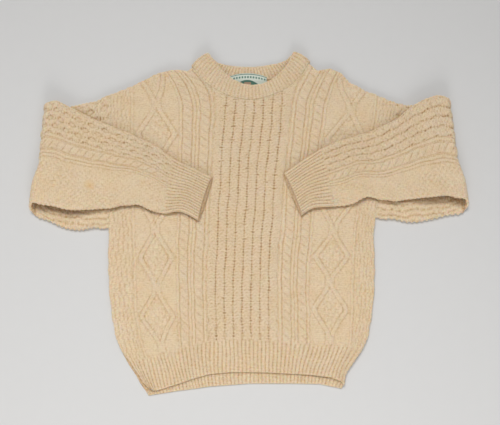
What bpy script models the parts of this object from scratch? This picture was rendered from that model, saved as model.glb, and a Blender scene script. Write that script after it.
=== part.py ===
"""A hand-knit Aran crew-neck sweater lying flat, with both sleeves folded in over its front.

The pieces are those a knitter sews together: back, front, two sleeves and the neckband, with a
woven label inside the back neck. Ribs, rope cables, diamonds, honeycomb and basket blocks are
raised in each wall's visible face, over a plain inside. Lengths below are in millimetres.
Left and right are as worn, so the right sleeve lies at -X.
"""

import math

import bmesh
import bpy
import numpy as np
from mathutils import Vector
from mathutils.geometry import delaunay_2d_cdt

MM = 0.001

# Thickness of the knitted cloth and the clear gaps between layers
WALL = 3.5
GAP = 0.3
SEAM_GAP = 0.5
SLEEVE_THICK = 8.0
SLEEVE_WALL = 3.4
BAND_THICK = 4.0
LABEL_THICK = 0.6

# Heights of the raised stitches over the cloth
RIB_HEIGHT = 1.5
TWIST_HEIGHT = 1.3
ROPE_HEIGHT = 2.2
ROPE_DIP = 0.8
COMB_HEIGHT = 2.0
COMB_TOUCH = 1.1
DIAMOND_HEIGHT = 1.9
MOSS_HEIGHT = 0.9
BASKET_HEIGHT = 0.9
BAND_RIB_HEIGHT = 0.7

# Widths and repeats of the stitch panels
ROPE_WIDTH = 18.0
ROPE_PITCH = 21.0
COMB_CELL = 18.5
COMB_PERIOD = 31.0
COMB_SWAY = 3.0
TWIST_HALF = 2.8
DIAMOND_HALF = 35.0
DIAMOND_CROSS = 4.5
STRAND_TOP = 2.0
STRAND_FOOT = 4.8
HEM_RIBS = 48
CUFF_RIBS = 15
BAND_FRONT_RIBS = 44
BAND_BACK_RIBS = 27

# The body across, in columns named below, at heights from hem to shoulder
STOPS = (-280.0, -230.0, -74.0, 74.0, 230.0, 280.0)
BODY = (
    # height, right edge, right twist rib, comb right, comb left, left twist rib, left edge
    (-380, -204, -187, -76, 53, 167, 190),
    (-332, -234, -203, -84, 55, 181, 206),
    (-278, -267, -221, -88, 58, 207, 240),
    (-227, -282, -233, -89, 57, 212, 252),
    (-144, -292, -240, -90, 57, 214, 262),
    (-27, -299, -248, -87, 65, 226, 265),
    (104, -302, -254, -82, 76, 246, 290),
    (240, -305, -260, -74, 91, 275, 320),
    (345, -308, -264, -73, 94, 281, 343),
)
DIAMOND_COLUMN = 184.5
RIGHT_CROSSINGS = (-282, -160, -35, 102, 243)
LEFT_CROSSINGS = (-265, -147, -39, 95, 229)
SIDE_HEIGHTS = (-355, -330, -305, -280, -250, -215, -180, -135, -85, -45)
UNDERARM_RIGHT = (-299.0, -28.0)
UNDERARM_LEFT = (265.0, -10.0)
TIP_RIGHT = (-305.0, 266.0)
TIP_LEFT = (321.0, 245.0)

# Outlines between those sides, each from -X to +X
SHOULDER_RIGHT = ((-276, 275), (-238, 292), (-202, 313), (-177, 320), (-157, 320), (-140, 316))
SHOULDER_LEFT = ((149, 320), (177, 325), (202, 314), (218, 294), (253, 274), (289, 259))
FRONT_NECK = (
    (-126, 327), (-109, 302), (-95, 290), (-80, 279), (-63, 269), (-45, 261), (-23, 255),
    (0, 252), (22, 255), (42, 261), (64, 269), (84, 280), (101, 295), (116, 313), (130, 337),
)
BACK_NECK = ((-126, 327), (-100, 311), (-60, 301), (0, 296), (60, 303), (100, 318), (130, 337))
FRONT_HEM = (
    (-201, -370), (-184, -369), (-164, -362), (-123, -348), (-82, -337), (-41, -333),
    (0, -333), (41, -334), (82, -336), (123, -338), (164, -343), (185, -351), (192, -360),
)
BACK_HEM = ((-204, -380), (-143, -370), (-82, -362), (0, -356), (82, -356), (143, -357), (188, -366))
RIB_TOP = ((-260, -308), (-200, -299), (-144, -286), (-87, -268), (0, -264), (66, -270), (132, -277), (245, -279))

# Free edges of the neckband, from -X to +X
FRONT_FREE = (
    (-91, 358), (-74, 337), (-56, 314), (-37, 299), (-15, 289), (5, 286), (27, 289),
    (45, 297), (62, 310), (80, 330), (95, 360),
)
BACK_FREE = ((-91, 358), (-72, 340), (-50, 334), (-23, 331), (7, 330), (32, 333), (60, 338), (79, 345), (95, 360))
BAND_BACK_Z = 2.0
BAND_FRONT_Z = 8.0
BAND_CORNER_LIFT = 3.0
BAND_CORNER_BOW = 7.0

# Each sleeve: its edges in plan and the height of the middle of its layers, section by section
ARM_Z = SLEEVE_THICK / 2
REST_Z = 15.3
ROLL_RADIUS = 8.5
RIGHT_ARM = (
    # upper edge x, y, lower edge x, y
    (-305.5, 266, -299.5, -28),
    (-350, 247, -345, -33),
    (-400, 237, -400, -32),
    (-446, 236, -458, -6),
)
RIGHT_FOREARM = (
    # upper edge x, y, lower edge x, y, upper rise, lower rise over the resting height
    (-444, 244, -460, 18, 5.7, 5.7),
    (-425, 245, -430, 12, 4.3, 4.3),
    (-399, 234, -395, 5, 1.8, 2.8),
    (-350, 211, -343, 3, 0.4, 1.2),
    (-300, 189, -290, 9, 0.0, 0.8),
    (-249, 168, -245, 15, 0.0, 2.5),
    (-200, 143, -208, 3, 0.0, 0.8),
    (-163, 116, -182, -4, 0.0, 0.0),
    (-122, 96, -148, 0, 0.0, 1.6),
    (-81, 76, -109, -19, 0.0, 0.0),
)
LEFT_ARM = (
    (321.5, 245, 265.5, -10),
    (358, 240, 330, -18),
    (400, 241, 394, -14),
    (433, 247, 455, 1),
)
LEFT_FOREARM = (
    (433, 256, 455, 26, 5.7, 5.7),
    (407, 257, 425, 31, 4.3, 4.3),
    (360, 237, 385, 31, 1.8, 2.8),
    (314, 204, 335, 25, 0.4, 1.2),
    (254, 175, 290, 24, 0.0, 0.8),
    (217, 164, 252, 31, 0.0, 2.5),
    (180, 151, 212, 16, 0.0, 0.8),
    (152, 138, 175, 11, 0.0, 0.0),
    (112, 112, 135, 8, 0.0, 1.2),
    (72, 84, 109, -8, 0.0, 0.0),
)
CUFF_SECTION = 7

# Across each forearm: honeycomb start, strands and cell, then twist rib, rope, two twist ribs; hand of the rope
RIGHT_STITCHES = (5.0, 3, 20.0, 70.0, 86.5, 103.0, 110.0, -1)
LEFT_STITCHES = (3.0, 4, 17.5, 78.0, 93.5, 109.0, 116.0, 1)

# The label sewn in the back neck: half width, middle, and its edges
LABEL_HALF = 43.0
LABEL_MIDDLE = -6.0
LABEL_TOP = 314.0
LABEL_LENGTH = 46.0
LABEL_ARCH = 9.0

WOOL = (0.665, 0.508, 0.337)
LABEL_GROUND = (0.62, 0.68, 0.60)


def through(keys, values, at):
    """A smooth curve through the values that stand at the keys, read at one place or many."""
    keys, values = np.asarray(keys, float), np.asarray(values, float)
    slopes = np.gradient(values, keys, axis=0)
    at = np.clip(np.asarray(at, float), keys[0], keys[-1])
    i = np.clip(np.searchsorted(keys, at, side="right") - 1, 0, len(keys) - 2)
    span = keys[i + 1] - keys[i]
    u = (at - keys[i]) / span
    if values.ndim > 1:
        span, u = span[..., None], u[..., None]
    return (
        (2 * u**3 - 3 * u**2 + 1) * values[i]
        + (u**3 - 2 * u**2 + u) * span * slopes[i]
        + (3 * u**2 - 2 * u**3) * values[i + 1]
        + (u**3 - u**2) * span * slopes[i + 1]
    )


def evenly(start, end, spacing):
    """Places from start to end, no further apart than spacing."""
    return np.linspace(start, end, max(2, math.ceil(abs(end - start) / spacing) + 1))


class Skin:
    """One face of the cloth in the flat: points with a height over it, and the lines that join them."""

    def __init__(self, lay, allowed):
        self.lay = lay
        self.allowed = allowed
        self.points = []
        self.edges = []
        self.known = {}

    def point(self, x, y, height):
        key = (round(float(x), 2), round(float(y), 2))
        if key not in self.known:
            self.known[key] = len(self.points)
            self.points.append((float(x), float(y), float(height)))
        return self.known[key]

    def loop(self, corners):
        """A closed line of (x, y, height) in the flat."""
        ids = [self.point(*corner) for corner in corners]
        self.edges += [(a, b) for a, b in zip(ids, ids[1:] + ids[:1]) if a != b]
        return ids

    def on_cloth(self, stitch):
        return self.allowed(*self.lay(stitch[0], stitch[1]))

    def last_on_cloth(self, inner, outer):
        """The last place on the cloth on the way from inner, which is on it, to outer."""
        near, far = 0.0, 1.0
        for _ in range(12):
            middle = (near + far) / 2
            place = tuple(a + (b - a) * middle for a, b in zip(inner, outer))
            near, far = (middle, far) if self.on_cloth(place) else (near, middle)
        return tuple(a + (b - a) * near for a, b in zip(inner, outer))

    def line(self, stitches):
        """Joins (across, along, height) places, cut off where they leave the cloth."""
        for start, end in zip(stitches, stitches[1:]):
            if not self.on_cloth(start) and not self.on_cloth(end):
                continue
            if not self.on_cloth(start):
                start = self.last_on_cloth(end, start)
            elif not self.on_cloth(end):
                end = self.last_on_cloth(start, end)
            ids = [self.point(*self.lay(a, b), h) for a, b, h in (start, end)]
            if ids[0] != ids[1]:
                self.edges.append(tuple(ids))

    def faces(self, outline):
        """Triangles of point numbers that fill the outline."""
        flat = [Vector((x, y)) for x, y, _ in self.points]
        made = delaunay_2d_cdt(flat, self.edges, [outline], 1, 1e-5)
        places, triangles, origin = made[0], made[2], made[3]
        for place, old in zip(places, origin):
            if len(old) != 1:
                raise ValueError(f"two lines meet away from a point, near {tuple(place)}")
        return [[origin[i][0] for i in triangle] for triangle in triangles]


class Solid:
    """A closed mesh gathered face by face from points in millimetres."""

    def __init__(self, name):
        self.name = name
        self.mesh = bmesh.new()
        self.known = {}

    def vertex(self, place):
        key = tuple(round(float(c), 3) for c in place)
        if key not in self.known:
            self.known[key] = self.mesh.verts.new([c * MM for c in key])
        return self.known[key]

    def face(self, *places):
        corners = []
        for place in places:
            vertex = self.vertex(place)
            if vertex not in corners:
                corners.append(vertex)
        if len(corners) > 2:
            self.mesh.faces.new(corners)

    def strip(self, first, second):
        """Triangles between two lines of (key, place) pairs that run the same way."""
        i, j = 0, 0
        while i < len(first) - 1 or j < len(second) - 1:
            on_first = j == len(second) - 1 or (
                i < len(first) - 1 and first[i + 1][0] <= second[j + 1][0]
            )
            if on_first:
                self.face(first[i][1], first[i + 1][1], second[j][1])
                i += 1
            else:
                self.face(first[i][1], second[j + 1][1], second[j][1])
                j += 1

    def finish(self, colour, sharp_degrees=40.0):
        bmesh.ops.recalc_face_normals(self.mesh, faces=self.mesh.faces)
        data = bpy.data.meshes.new(self.name)
        self.mesh.to_mesh(data)
        self.mesh.free()
        data.shade_smooth()
        data.set_sharp_from_angle(angle=math.radians(sharp_degrees))
        data.materials.append(colour)
        made = bpy.data.objects.new(self.name, data)
        bpy.context.scene.collection.objects.link(made)
        return made


def paint(name, colour, roughness):
    material = bpy.data.materials.new(name)
    material.use_nodes = True
    shader = material.node_tree.nodes["Principled BSDF"]
    shader.inputs["Base Color"].default_value = (*colour, 1.0)
    shader.inputs["Roughness"].default_value = roughness
    shader.inputs["Metallic"].default_value = 0.0
    material.diffuse_color = (*colour, 1.0)
    return material


# Stitch patterns, laid in (across, along) places of a skin


def twist_rib(skin, centre, low, high, spacing=55.0):
    """A single raised rib with its two feet."""
    along = evenly(low, high, spacing)
    for across, height in ((-TWIST_HALF, 0.0), (0.0, TWIST_HEIGHT), (TWIST_HALF, 0.0)):
        skin.line([(centre + across, v, height) for v in along])


def rope(skin, centre, low, high, hand):
    """A two-strand rope cable: slanting crests with a dip between each turn and the next."""
    half = ROPE_WIDTH / 2
    turns = int((high - low) / ROPE_PITCH)
    borders = {-1: [], 1: []}
    for turn in range(turns + 1):
        foot = low + turn * ROPE_PITCH
        top = foot + 0.6 * ROPE_PITCH
        borders[-1].append((centre - hand * half, foot, 0.2))
        borders[1].append((centre + hand * half, top, 0.2))
        if turn == turns:
            break
        skin.line([
            (centre - hand * half, foot, 0.2),
            (centre - hand * half * 0.45, foot + 0.165 * ROPE_PITCH, ROPE_DIP),
            (centre + hand * half * 0.45, foot + 0.435 * ROPE_PITCH, ROPE_DIP),
            (centre + hand * half, top, 0.2),
        ])
        skin.line([
            (centre - hand * half * 0.55, foot + 0.635 * ROPE_PITCH, ROPE_HEIGHT),
            (centre + hand * half * 0.55, foot + 0.965 * ROPE_PITCH, ROPE_HEIGHT),
        ])
    for border in borders.values():
        skin.line(border)


def honeycomb(skin, left, strands, low, high, cell=COMB_CELL):
    """Wavy strands side by side. Each touches one neighbour, then the other, half a period later."""
    rows = np.arange(low, high + 0.1, COMB_PERIOD / 2)
    for strand in range(strands + 1):
        edge = left + strand * cell
        skin.line([
            (edge, v, COMB_TOUCH if (strand + row) % 2 == 0 else 0.0) for row, v in enumerate(rows)
        ])
        if strand == strands:
            break
        skin.line([
            (
                edge + cell / 2 + (-COMB_SWAY if (strand + row) % 2 == 0 else COMB_SWAY),
                v,
                COMB_HEIGHT,
            )
            for row, v in enumerate(rows)
        ])


def diamonds(skin, centre, crossings):
    """Two raised strands that cross and part again, with broken ribs inside each diamond."""
    path = [(DIAMOND_CROSS, crossings[0] - 12.0)]
    for low, high in zip(crossings, crossings[1:]):
        path += [(DIAMOND_CROSS, low + 12.0), (DIAMOND_HALF, (low + high) / 2), (DIAMOND_CROSS, high - 12.0)]
    for side in (-1, 1):
        for shift, height in (
            (-STRAND_TOP, DIAMOND_HEIGHT), (STRAND_TOP, DIAMOND_HEIGHT), (STRAND_FOOT, 0.0),
        ):
            skin.line([(centre + side * (out + shift), v, height) for out, v in path])
    skin.line([(centre, v, 0.4) for v in (crossings[0] - 12.0, crossings[0] + 12.0)])
    for low, high in zip(crossings, crossings[1:]):
        middle, tall = (low + high) / 2, (high - low) / 2 - 19.0
        wide = DIAMOND_HALF - STRAND_FOOT
        inner = [(0, -tall), (wide, 0), (0, tall), (-wide, 0), (0, -tall)]
        skin.line([(centre + x, middle + y, 0.0) for x, y in inner])
        skin.line([(centre, v, 0.4) for v in (high - 12.0, high + 12.0)])
        for column, reach in ((-15.0, 12.0), (0.0, 26.0), (15.0, 12.0)):
            for share in (-1, 1):
                skin.line([(centre + column, middle + share * v, MOSS_HEIGHT) for v in (3.0, reach)])
        for column in (-7.5, 7.5):
            skin.line([(centre + column, middle + v, 0.0) for v in (-17.0, 17.0)])


def basket(skin, inner, outer, low, high):
    """A checkerboard of raised and sunken blocks along a side seam."""
    columns, tall = 3, 29.0
    wide = (outer - inner) / columns
    for row, v in enumerate(np.arange(low, high, tall)):
        for column in range(columns):
            middle = inner + (column + 0.5) * wide
            raised = (row + column) % 2 == 0
            reach_x, reach_y = (0.32, 0.42) if raised else (0.14, 0.36)
            height = BASKET_HEIGHT if raised else 0.0
            xs = (middle - reach_x * wide, middle + reach_x * wide)
            for x in xs if raised else (middle,):
                skin.line([(x, v + tall * (0.5 - reach_y), height), (x, v + tall * (0.5 + reach_y), height)])


def ribs(skin, left, right, count, bottom, top):
    """Upright ribs: a crest and a groove for each, between two lines across the cloth."""
    for number in range(2 * count + 1):
        across = left + (right - left) * number / (2 * count)
        low, high = bottom(across), top(across)
        height = RIB_HEIGHT if number % 2 else 0.0
        if high - low > 7.0:
            stops = (low + 2.5, high - 2.5) if high - low < 40.0 else (low + 2.5, (low + high) / 2, high - 2.5)
            skin.line([(across, low, 0.0)] + [(across, v, height) for v in stops] + [(across, high, 0.0)])


# The two body panels


def body_x(column, height):
    """Where a column of the pattern lies across the body at a height."""
    table = np.array(BODY, float)
    return float(np.interp(column, STOPS, through(table[:, 0], table[:, 1:], height)))


def hollow_under_front(x, y):
    """How far the front stands off the back: soft swells that die out at the seams."""
    across = math.cos(math.pi * np.clip(x / 330.0, -1, 1) / 2)
    return 0.5 + 0.7 * across * (0.5 + 0.5 * math.sin(y / 47.0 + x / 90.0))


def body_outline(hem, neck):
    """The outline of a body panel, clockwise from the hem's -X corner, as (x, y, kind of edge)."""
    low = hem[0][1]
    right = [(body_x(STOPS[0], h), h, "fold") for h in SIDE_HEIGHTS if h > low + 8]
    left = [(body_x(STOPS[-1], h), h, "fold") for h in reversed(SIDE_HEIGHTS) if h > hem[-1][1] + 8]
    loop = [(*hem[0], "free")] + right + [(*UNDERARM_RIGHT, "seam"), (*TIP_RIGHT, "seam")]
    loop += [(*p, "fold") for p in SHOULDER_RIGHT] + [(*p, "seam") for p in neck]
    loop += [(*p, "fold") for p in SHOULDER_LEFT] + [(*TIP_LEFT, "seam"), (*UNDERARM_LEFT, "seam")]
    loop += left + [(*p, "free") for p in reversed(hem[1:])]
    return loop


# Inset of the flat face from the outline, and how much of the wall the outline itself keeps
EDGE_KINDS = {"fold": (4.5, 0.45), "seam": (1.6, 0.75), "free": (2.2, 0.6)}


def inset_loop(outline):
    """The outline moved inwards, each corner by the inset of its kind."""
    made = []
    for number, (x, y, kind) in enumerate(outline):
        before, after = Vector(outline[number - 1][:2]), Vector(outline[(number + 1) % len(outline)][:2])
        here = Vector((x, y))
        sides = [(here - before).normalized(), (after - here).normalized()]
        inward = sum((Vector((s.y, -s.x)) for s in sides), Vector((0, 0)))
        reach = EDGE_KINDS[kind][0] / max(0.45, inward.length / 2)
        made.append(here + inward.normalized() * reach)
    return made


def inside_test(loop, margin):
    """A test of whether a point lies inside the loop, at least margin from it."""
    start = np.array([tuple(p)[:2] for p in loop], float)
    step = np.roll(start, -1, axis=0) - start

    def test(x, y):
        to = np.array((x, y)) - start
        share = np.clip((to * step).sum(1) / (step**2).sum(1), 0, 1)
        if np.hypot(*(to - share[:, None] * step).T).min() < margin:
            return False
        crosses = (to[:, 1] < 0) != (to[:, 1] - step[:, 1] < 0)
        at = start[:, 0] + step[:, 0] * to[:, 1] / np.where(step[:, 1] == 0, 1e-9, step[:, 1])
        return bool((crosses & (x < at)).sum() % 2)

    return test


def panel(name, outline, under, over, raise_stitches, colour):
    """A body panel: a plain lower face, a rounded edge and an upper face with raised stitches."""
    inset = inset_loop(outline)
    skin = Skin(lambda across, along: (body_x(across, along), along), inside_test(inset, 1.5))
    keep = [EDGE_KINDS[kind][1] for _, _, kind in outline]
    rim = skin.loop([(x, y, 0.0) for x, y, _ in outline])
    skin.loop([(p.x, p.y, 0.0) for p in inset])
    raise_stitches(skin)
    solid = Solid(name)

    def upper(number):
        x, y, height = skin.points[number]
        low, high = under(x, y), over(x, y)
        share = keep[number] if number < len(rim) else 1.0
        return x, y, low + (high - low) * share + height

    for triangle in skin.faces(rim):
        solid.face(*(upper(i) for i in triangle))
    lower_face(solid, outline, under)
    for number in range(len(outline)):
        a, b = number, (number + 1) % len(outline)
        low_a, low_b = ((*outline[i][:2], under(*outline[i][:2])) for i in (a, b))
        solid.face(low_a, low_b, upper(b))
        solid.face(low_a, upper(b), upper(a))
    return solid.finish(colour)


def lower_face(solid, outline, under):
    """The plain inside of a panel, with a coarse net of points that follows its swells."""
    within = inside_test([p[:2] for p in outline], 25.0)
    plain = Skin(lambda x, y: (x, y), within)
    rim = plain.loop([(x, y, under(x, y)) for x, y, _ in outline])
    for y in range(-320, 330, 65):
        for x in range(-270, 300, 65):
            if within(x, y):
                plain.point(x, y, under(x, y))
    for triangle in plain.faces(rim):
        solid.face(*(plain.points[i] for i in triangle))


def front_under(x, y):
    return WALL + GAP + hollow_under_front(x, y)


def front_over(x, y):
    return front_under(x, y) + WALL


def rib_top(across, side=0.0):
    x = body_x(across, -285)
    return float(np.interp(x, *zip(*RIB_TOP))) + side


def hem_line(hem):
    def at(across):
        return float(np.interp(body_x(across, -345), *zip(*hem))) + 4.5

    return at


def stitch_front(skin):
    """All the stitch panels of the front, mirrored about its middle."""
    low, high = -258.0, 318.0
    honeycomb(skin, STOPS[2], 8, low, high)
    for side in (-1, 1):
        start = low - (14.0 if side < 0 else 8.0)
        twist_rib(skin, side * 79.2, start, high)
        rope(skin, side * 92.5, start, high, -1)
        twist_rib(skin, side * 105.6, start, high)
        twist_rib(skin, side * 112.4, start, high)
        rope(skin, side * 125.5, start, high, -1)
        twist_rib(skin, side * 138.4, start, high)
        diamonds(skin, side * DIAMOND_COLUMN, RIGHT_CROSSINGS if side < 0 else LEFT_CROSSINGS)
        twist_rib(skin, side * 230.0, start - 8, high)
        basket(skin, side * 235.5, side * 277.0, -290.0, 262.0)
    ribs(skin, STOPS[0], STOPS[-1], HEM_RIBS, hem_line(FRONT_HEM), lambda a: rib_top(a, -7.0))


def stitch_back(skin):
    """Only the hem rib shows on the inside of the back, past the front's shorter hem."""
    ribs(
        skin, STOPS[0], STOPS[-1], HEM_RIBS, hem_line(BACK_HEM),
        lambda across: float(np.interp(body_x(across, -345), *zip(*FRONT_HEM))) - 1.0,
    )


# The sleeves


class SleevePath:
    """Places (along, across, through) of a flat tube that runs out, rolls over and comes back."""

    def __init__(self, arm, forearm):
        arm, forearm = np.array(arm, float), np.array(forearm, float)
        arm_z = np.full((len(arm), 1), ARM_Z)
        fore_z = REST_Z + forearm[:, 4:6]
        self.out = np.hstack([arm[:, :2], arm_z, arm[:, 2:4], arm_z])
        self.back = np.hstack([forearm[:, :2], fore_z[:, :1], forearm[:, 2:4], fore_z[:, 1:]])
        self.out_keys = self.distances(self.out)
        self.roll_start = self.out_keys[-1]
        self.roll_end = self.roll_start + math.pi * ROLL_RADIUS
        self.back_keys = self.roll_end + self.distances(self.back)
        self.length = self.back_keys[-1]
        self.outward = Vector((math.copysign(1, arm[-1][0]), 0, 0))

    @staticmethod
    def distances(rows):
        middle = (rows[:, :2] + rows[:, 3:5]) / 2
        return np.concatenate([[0], np.cumsum(np.hypot(*np.diff(middle, axis=0).T))])

    def section(self, along):
        """Upper edge, lower edge and the way from the outer back to the outer front, at a distance."""
        if along <= self.roll_start:
            row = through(self.out_keys, self.out, along)
            return Vector(row[:3]), Vector(row[3:]), Vector((0, 0, 1))
        if along >= self.roll_end:
            row = through(self.back_keys, self.back, along)
            return Vector(row[:3]), Vector(row[3:]), Vector((0, 0, -1))
        share = (along - self.roll_start) / (self.roll_end - self.roll_start)
        angle = math.pi * share
        row = self.out[-1] * (1 - share) + self.back[0] * share
        height = ARM_Z + ROLL_RADIUS * (1 - math.cos(angle))
        push = self.outward * ROLL_RADIUS * math.sin(angle)
        upper = Vector((row[0], row[1], height)) + push
        lower = Vector((row[3], row[4], height)) + push
        return upper, lower, Vector((0, 0, math.cos(angle))) - self.outward * math.sin(angle)

    def width(self, along):
        upper, lower, _ = self.section(along)
        return math.hypot(lower.x - upper.x, lower.y - upper.y)

    def place(self, along, across, through_wall):
        upper, lower, way = self.section(along)
        share = across / math.hypot(lower.x - upper.x, lower.y - upper.y)
        return upper + (lower - upper) * share + way * (through_wall - SLEEVE_THICK / 2)

    def stations(self):
        turns = np.linspace(self.roll_start, self.roll_end, 6)
        return np.concatenate([
            evenly(0, self.roll_start, 30)[:-1], turns, evenly(self.roll_end, self.length, 24)[1:],
        ])


def tube_skin(path, rows, inset, ends, margin):
    """A face of the tube: side lines at each (inset, depth) row, end lines, and lines across the roll."""
    stations = path.stations()

    def allowed(along, across):
        near_end = along < 3.0 or along > path.length - 3.0
        return not near_end and margin <= across <= path.width(along) - margin

    skin = Skin(lambda across, along: (along, across), allowed)
    widths = [path.width(s) for s in stations]
    finish = [w for w in ends if w > inset + rows[-1][0] + 0.5]
    first = [(0.0, d, rows[-1][1]) for d in np.array(finish) if d < widths[0] - inset - rows[-1][0] - 0.5]
    last = [(path.length, d, rows[-1][1]) for d in finish if d < widths[-1] - inset - rows[-1][0] - 0.5]
    side_a = [(s, inset, rows[0][1]) for s in stations]
    side_b = [(s, w - inset, rows[0][1]) for s, w in zip(stations, widths)]
    shoulders = [(r, depth) for r, depth in rows[1:]]
    end_a = [(0.0, inset + r, depth) for r, depth in shoulders]
    end_b = [(0.0, widths[0] - inset - r, depth) for r, depth in reversed(shoulders)]
    tip_a = [(path.length, inset + r, depth) for r, depth in shoulders]
    tip_b = [(path.length, widths[-1] - inset - r, depth) for r, depth in reversed(shoulders)]
    near = end_a + first + end_b
    far = tip_a + last + tip_b
    outline = skin.loop(side_a + far + side_b[::-1] + near[::-1])
    for r, depth in shoulders:
        for low in (True, False):
            run = [(s, inset + r if low else w - inset - r, depth) for s, w in zip(stations, widths)]
            ids = [skin.point(*p) for p in run]
            skin.edges += list(zip(ids, ids[1:]))
    for s, w in zip(stations, widths):
        if path.roll_start - 0.1 <= s <= path.roll_end + 0.1:
            reach = inset + rows[-1][0]
            ids = [skin.point(s, d, rows[-1][1]) for d in np.linspace(reach, w - reach, 6)]
            skin.edges += list(zip(ids, ids[1:]))
    lines = [side_a[0]] + near + [side_b[0]], [side_a[-1]] + far + [side_b[-1]]
    return skin, outline, lines


def stitch_sleeve(skin, stitches, low, high):
    """Honeycomb, twist ribs and rope along a sleeve."""
    start, strands, cell, first, centre, second, third, hand = stitches
    honeycomb(skin, start, strands, low, high, cell)
    for column in (first, second, third):
        twist_rib(skin, column, low, high, 32.0)
    rope(skin, centre, low, high, hand)


def spread(path, wide):
    """Lays columns, true where the sleeve is so wide, in proportion to its width elsewhere."""
    return lambda across, along: (along, across * path.width(along) / wide)


def stitch_forearm(skin, path, stitches):
    """The pattern along the forearm, then the cuff's ribs."""
    cuff = path.back_keys[CUFF_SECTION]
    skin.lay = spread(path, path.width(path.back_keys[3]))
    stitch_sleeve(skin, stitches, path.roll_end + 7.0, cuff - 14.0)
    wide = path.width(path.length)
    skin.lay = spread(path, wide)
    ribs(skin, 7.0, wide - 7.0, CUFF_RIBS, lambda _: cuff - 4.0, lambda _: path.length - 3.2)


def sleeve(name, arm, forearm, stitches, colour):
    """A tapering tube, flattened, rolled over at the elbow and open at armhole and cuff."""
    path = SleevePath(arm, forearm)
    solid = Solid(name)
    half, wall = SLEEVE_THICK / 2, SLEEVE_WALL
    outer_ends = np.linspace(10, 300, 24)
    inner_ends = np.linspace(14, 300, 10)
    ends = {}

    def add(key, side, rows, inset, end_places, margin, stitch=None):
        depth_rows = [(r, half + side * (d - half)) for r, d in rows]
        skin, outline, lines = tube_skin(path, depth_rows, inset, end_places, margin)
        if stitch:
            stitch(skin)
        fixed = len(outline)
        for triangle in skin.faces(outline):
            solid.face(*(
                path.place(x, y, depth if i < fixed or h_is_base(depth, depth_rows) else depth_rows[-1][1] + side * depth)
                for i, (x, y, depth) in ((i, skin.points[i]) for i in triangle)
            ))
        ends[key] = [[(y, path.place(x, y, depth)) for x, y, depth in line] for line in lines]

    def h_is_base(depth, rows):
        return any(abs(depth - d) < 1e-9 for _, d in rows)

    round_edge = ((0.0, half), (1.2, 0.8 * SLEEVE_THICK), (4.0, SLEEVE_THICK))
    slit = ((0.0, half), (3.0, SLEEVE_THICK - wall))
    add("front", 1, round_edge, 0.0, outer_ends, 5.5,
        lambda skin: stitch_sleeve(skin, stitches, 6.0, path.roll_start - 6.0))
    add("back", -1, round_edge, 0.0, outer_ends, 5.5, lambda skin: stitch_forearm(skin, path, stitches))
    add("inner front", 1, slit, wall, inner_ends, 9.0)
    add("inner back", -1, slit, wall, inner_ends, 9.0)
    for side in ("front", "back"):
        for end in (0, 1):
            solid.strip(ends[side][end], ends["inner " + side][end])
    return solid.finish(colour)


# The neckband and the label


def along_polyline(corners, share):
    """The place at a share of the way along straight lines between the corners."""
    corners = np.array(corners, float)
    reach = np.concatenate([[0], np.cumsum(np.hypot(*np.diff(corners, axis=0).T))])
    at = share * reach[-1]
    return Vector([float(np.interp(at, reach, corners[:, axis])) for axis in (0, 1)])


def band_stations():
    """Rulings round the neck: seam, middle and free-edge point, way outwards and rib height, in order."""
    rulings = []

    def ruling(seam, free, height, way, rib, bow):
        inset = seam + (free - seam).normalized() * SEAM_GAP
        middle = seam.lerp(free, 0.5) + bow
        rulings.append((Vector((*inset, height)), Vector((*middle, height)), Vector((*free, height)), way, rib))

    def outward_at(end):
        edge = (Vector(FRONT_FREE[end]) - Vector(FRONT_NECK[end])).normalized()
        return Vector((-edge.y, edge.x)) if end == 0 else Vector((edge.y, -edge.x))

    def arc(neck, free, count, heights, way, backwards):
        shares = np.linspace(0, 1, 2 * count + 1)
        for number, share in enumerate(shares):
            f = 1 - share if backwards else share
            rib = BAND_RIB_HEIGHT if number % 2 else 0.0
            bow = outward_at(0 if f < 0.5 else -1) * BAND_CORNER_BOW * abs(2 * f - 1) ** 10
            ruling(along_polyline(neck, f), along_polyline(free, f), heights(f), way, rib, bow)

    def corner(end, falling):
        seam, free = Vector(FRONT_NECK[end]), Vector(FRONT_FREE[end])
        outward = outward_at(end)
        top = BAND_FRONT_Z + BAND_CORNER_LIFT
        radius, middle = (top - BAND_BACK_Z) / 2, (top + BAND_BACK_Z) / 2
        for step in range(1, 6):
            angle = math.pi * (step if falling else 6 - step) / 6
            push = outward * radius * math.sin(angle)
            way = Vector((*(outward * math.sin(angle)), math.cos(angle)))
            height = middle + radius * math.cos(angle)
            ruling(seam + push, free + push, height, way, 0.0, outward * BAND_CORNER_BOW)

    def front_height(f):
        return BAND_FRONT_Z + BAND_CORNER_LIFT * (2 * f - 1) ** 2

    arc(FRONT_NECK, FRONT_FREE, BAND_FRONT_RIBS, front_height, Vector((0, 0, 1)), False)
    corner(-1, True)
    arc(BACK_NECK, BACK_FREE, BAND_BACK_RIBS, lambda f: BAND_BACK_Z, Vector((0, 0, -1)), True)
    corner(0, False)
    return rulings


def neckband(colour):
    """A ribbed ring, ribs across it, raised on whichever face looks up."""
    solid = Solid("neckband")
    half = BAND_THICK / 2
    sections = []
    for seam, middle, free, way, rib in band_stations():
        up, down = max(0.0, way.z), max(0.0, -way.z)
        shoulder = middle.lerp(free, 0.8)
        outer, inner = half + rib * up, half + rib * down
        sections.append((
            seam + way * (outer - 0.4 * up),
            middle + way * (outer + 0.5 * up),
            shoulder + way * (outer - 0.2 * up),
            free,
            shoulder - way * (inner - 0.2 * down),
            middle - way * (inner + 0.5 * down),
            seam - way * (inner - 0.4 * down),
        ))
    for section, following in zip(sections, sections[1:] + sections[:1]):
        for i in range(len(section)):
            j = (i + 1) % len(section)
            solid.face(section[i], section[j], following[j])
            solid.face(section[i], following[j], following[i])
    return solid.finish(colour)


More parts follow.
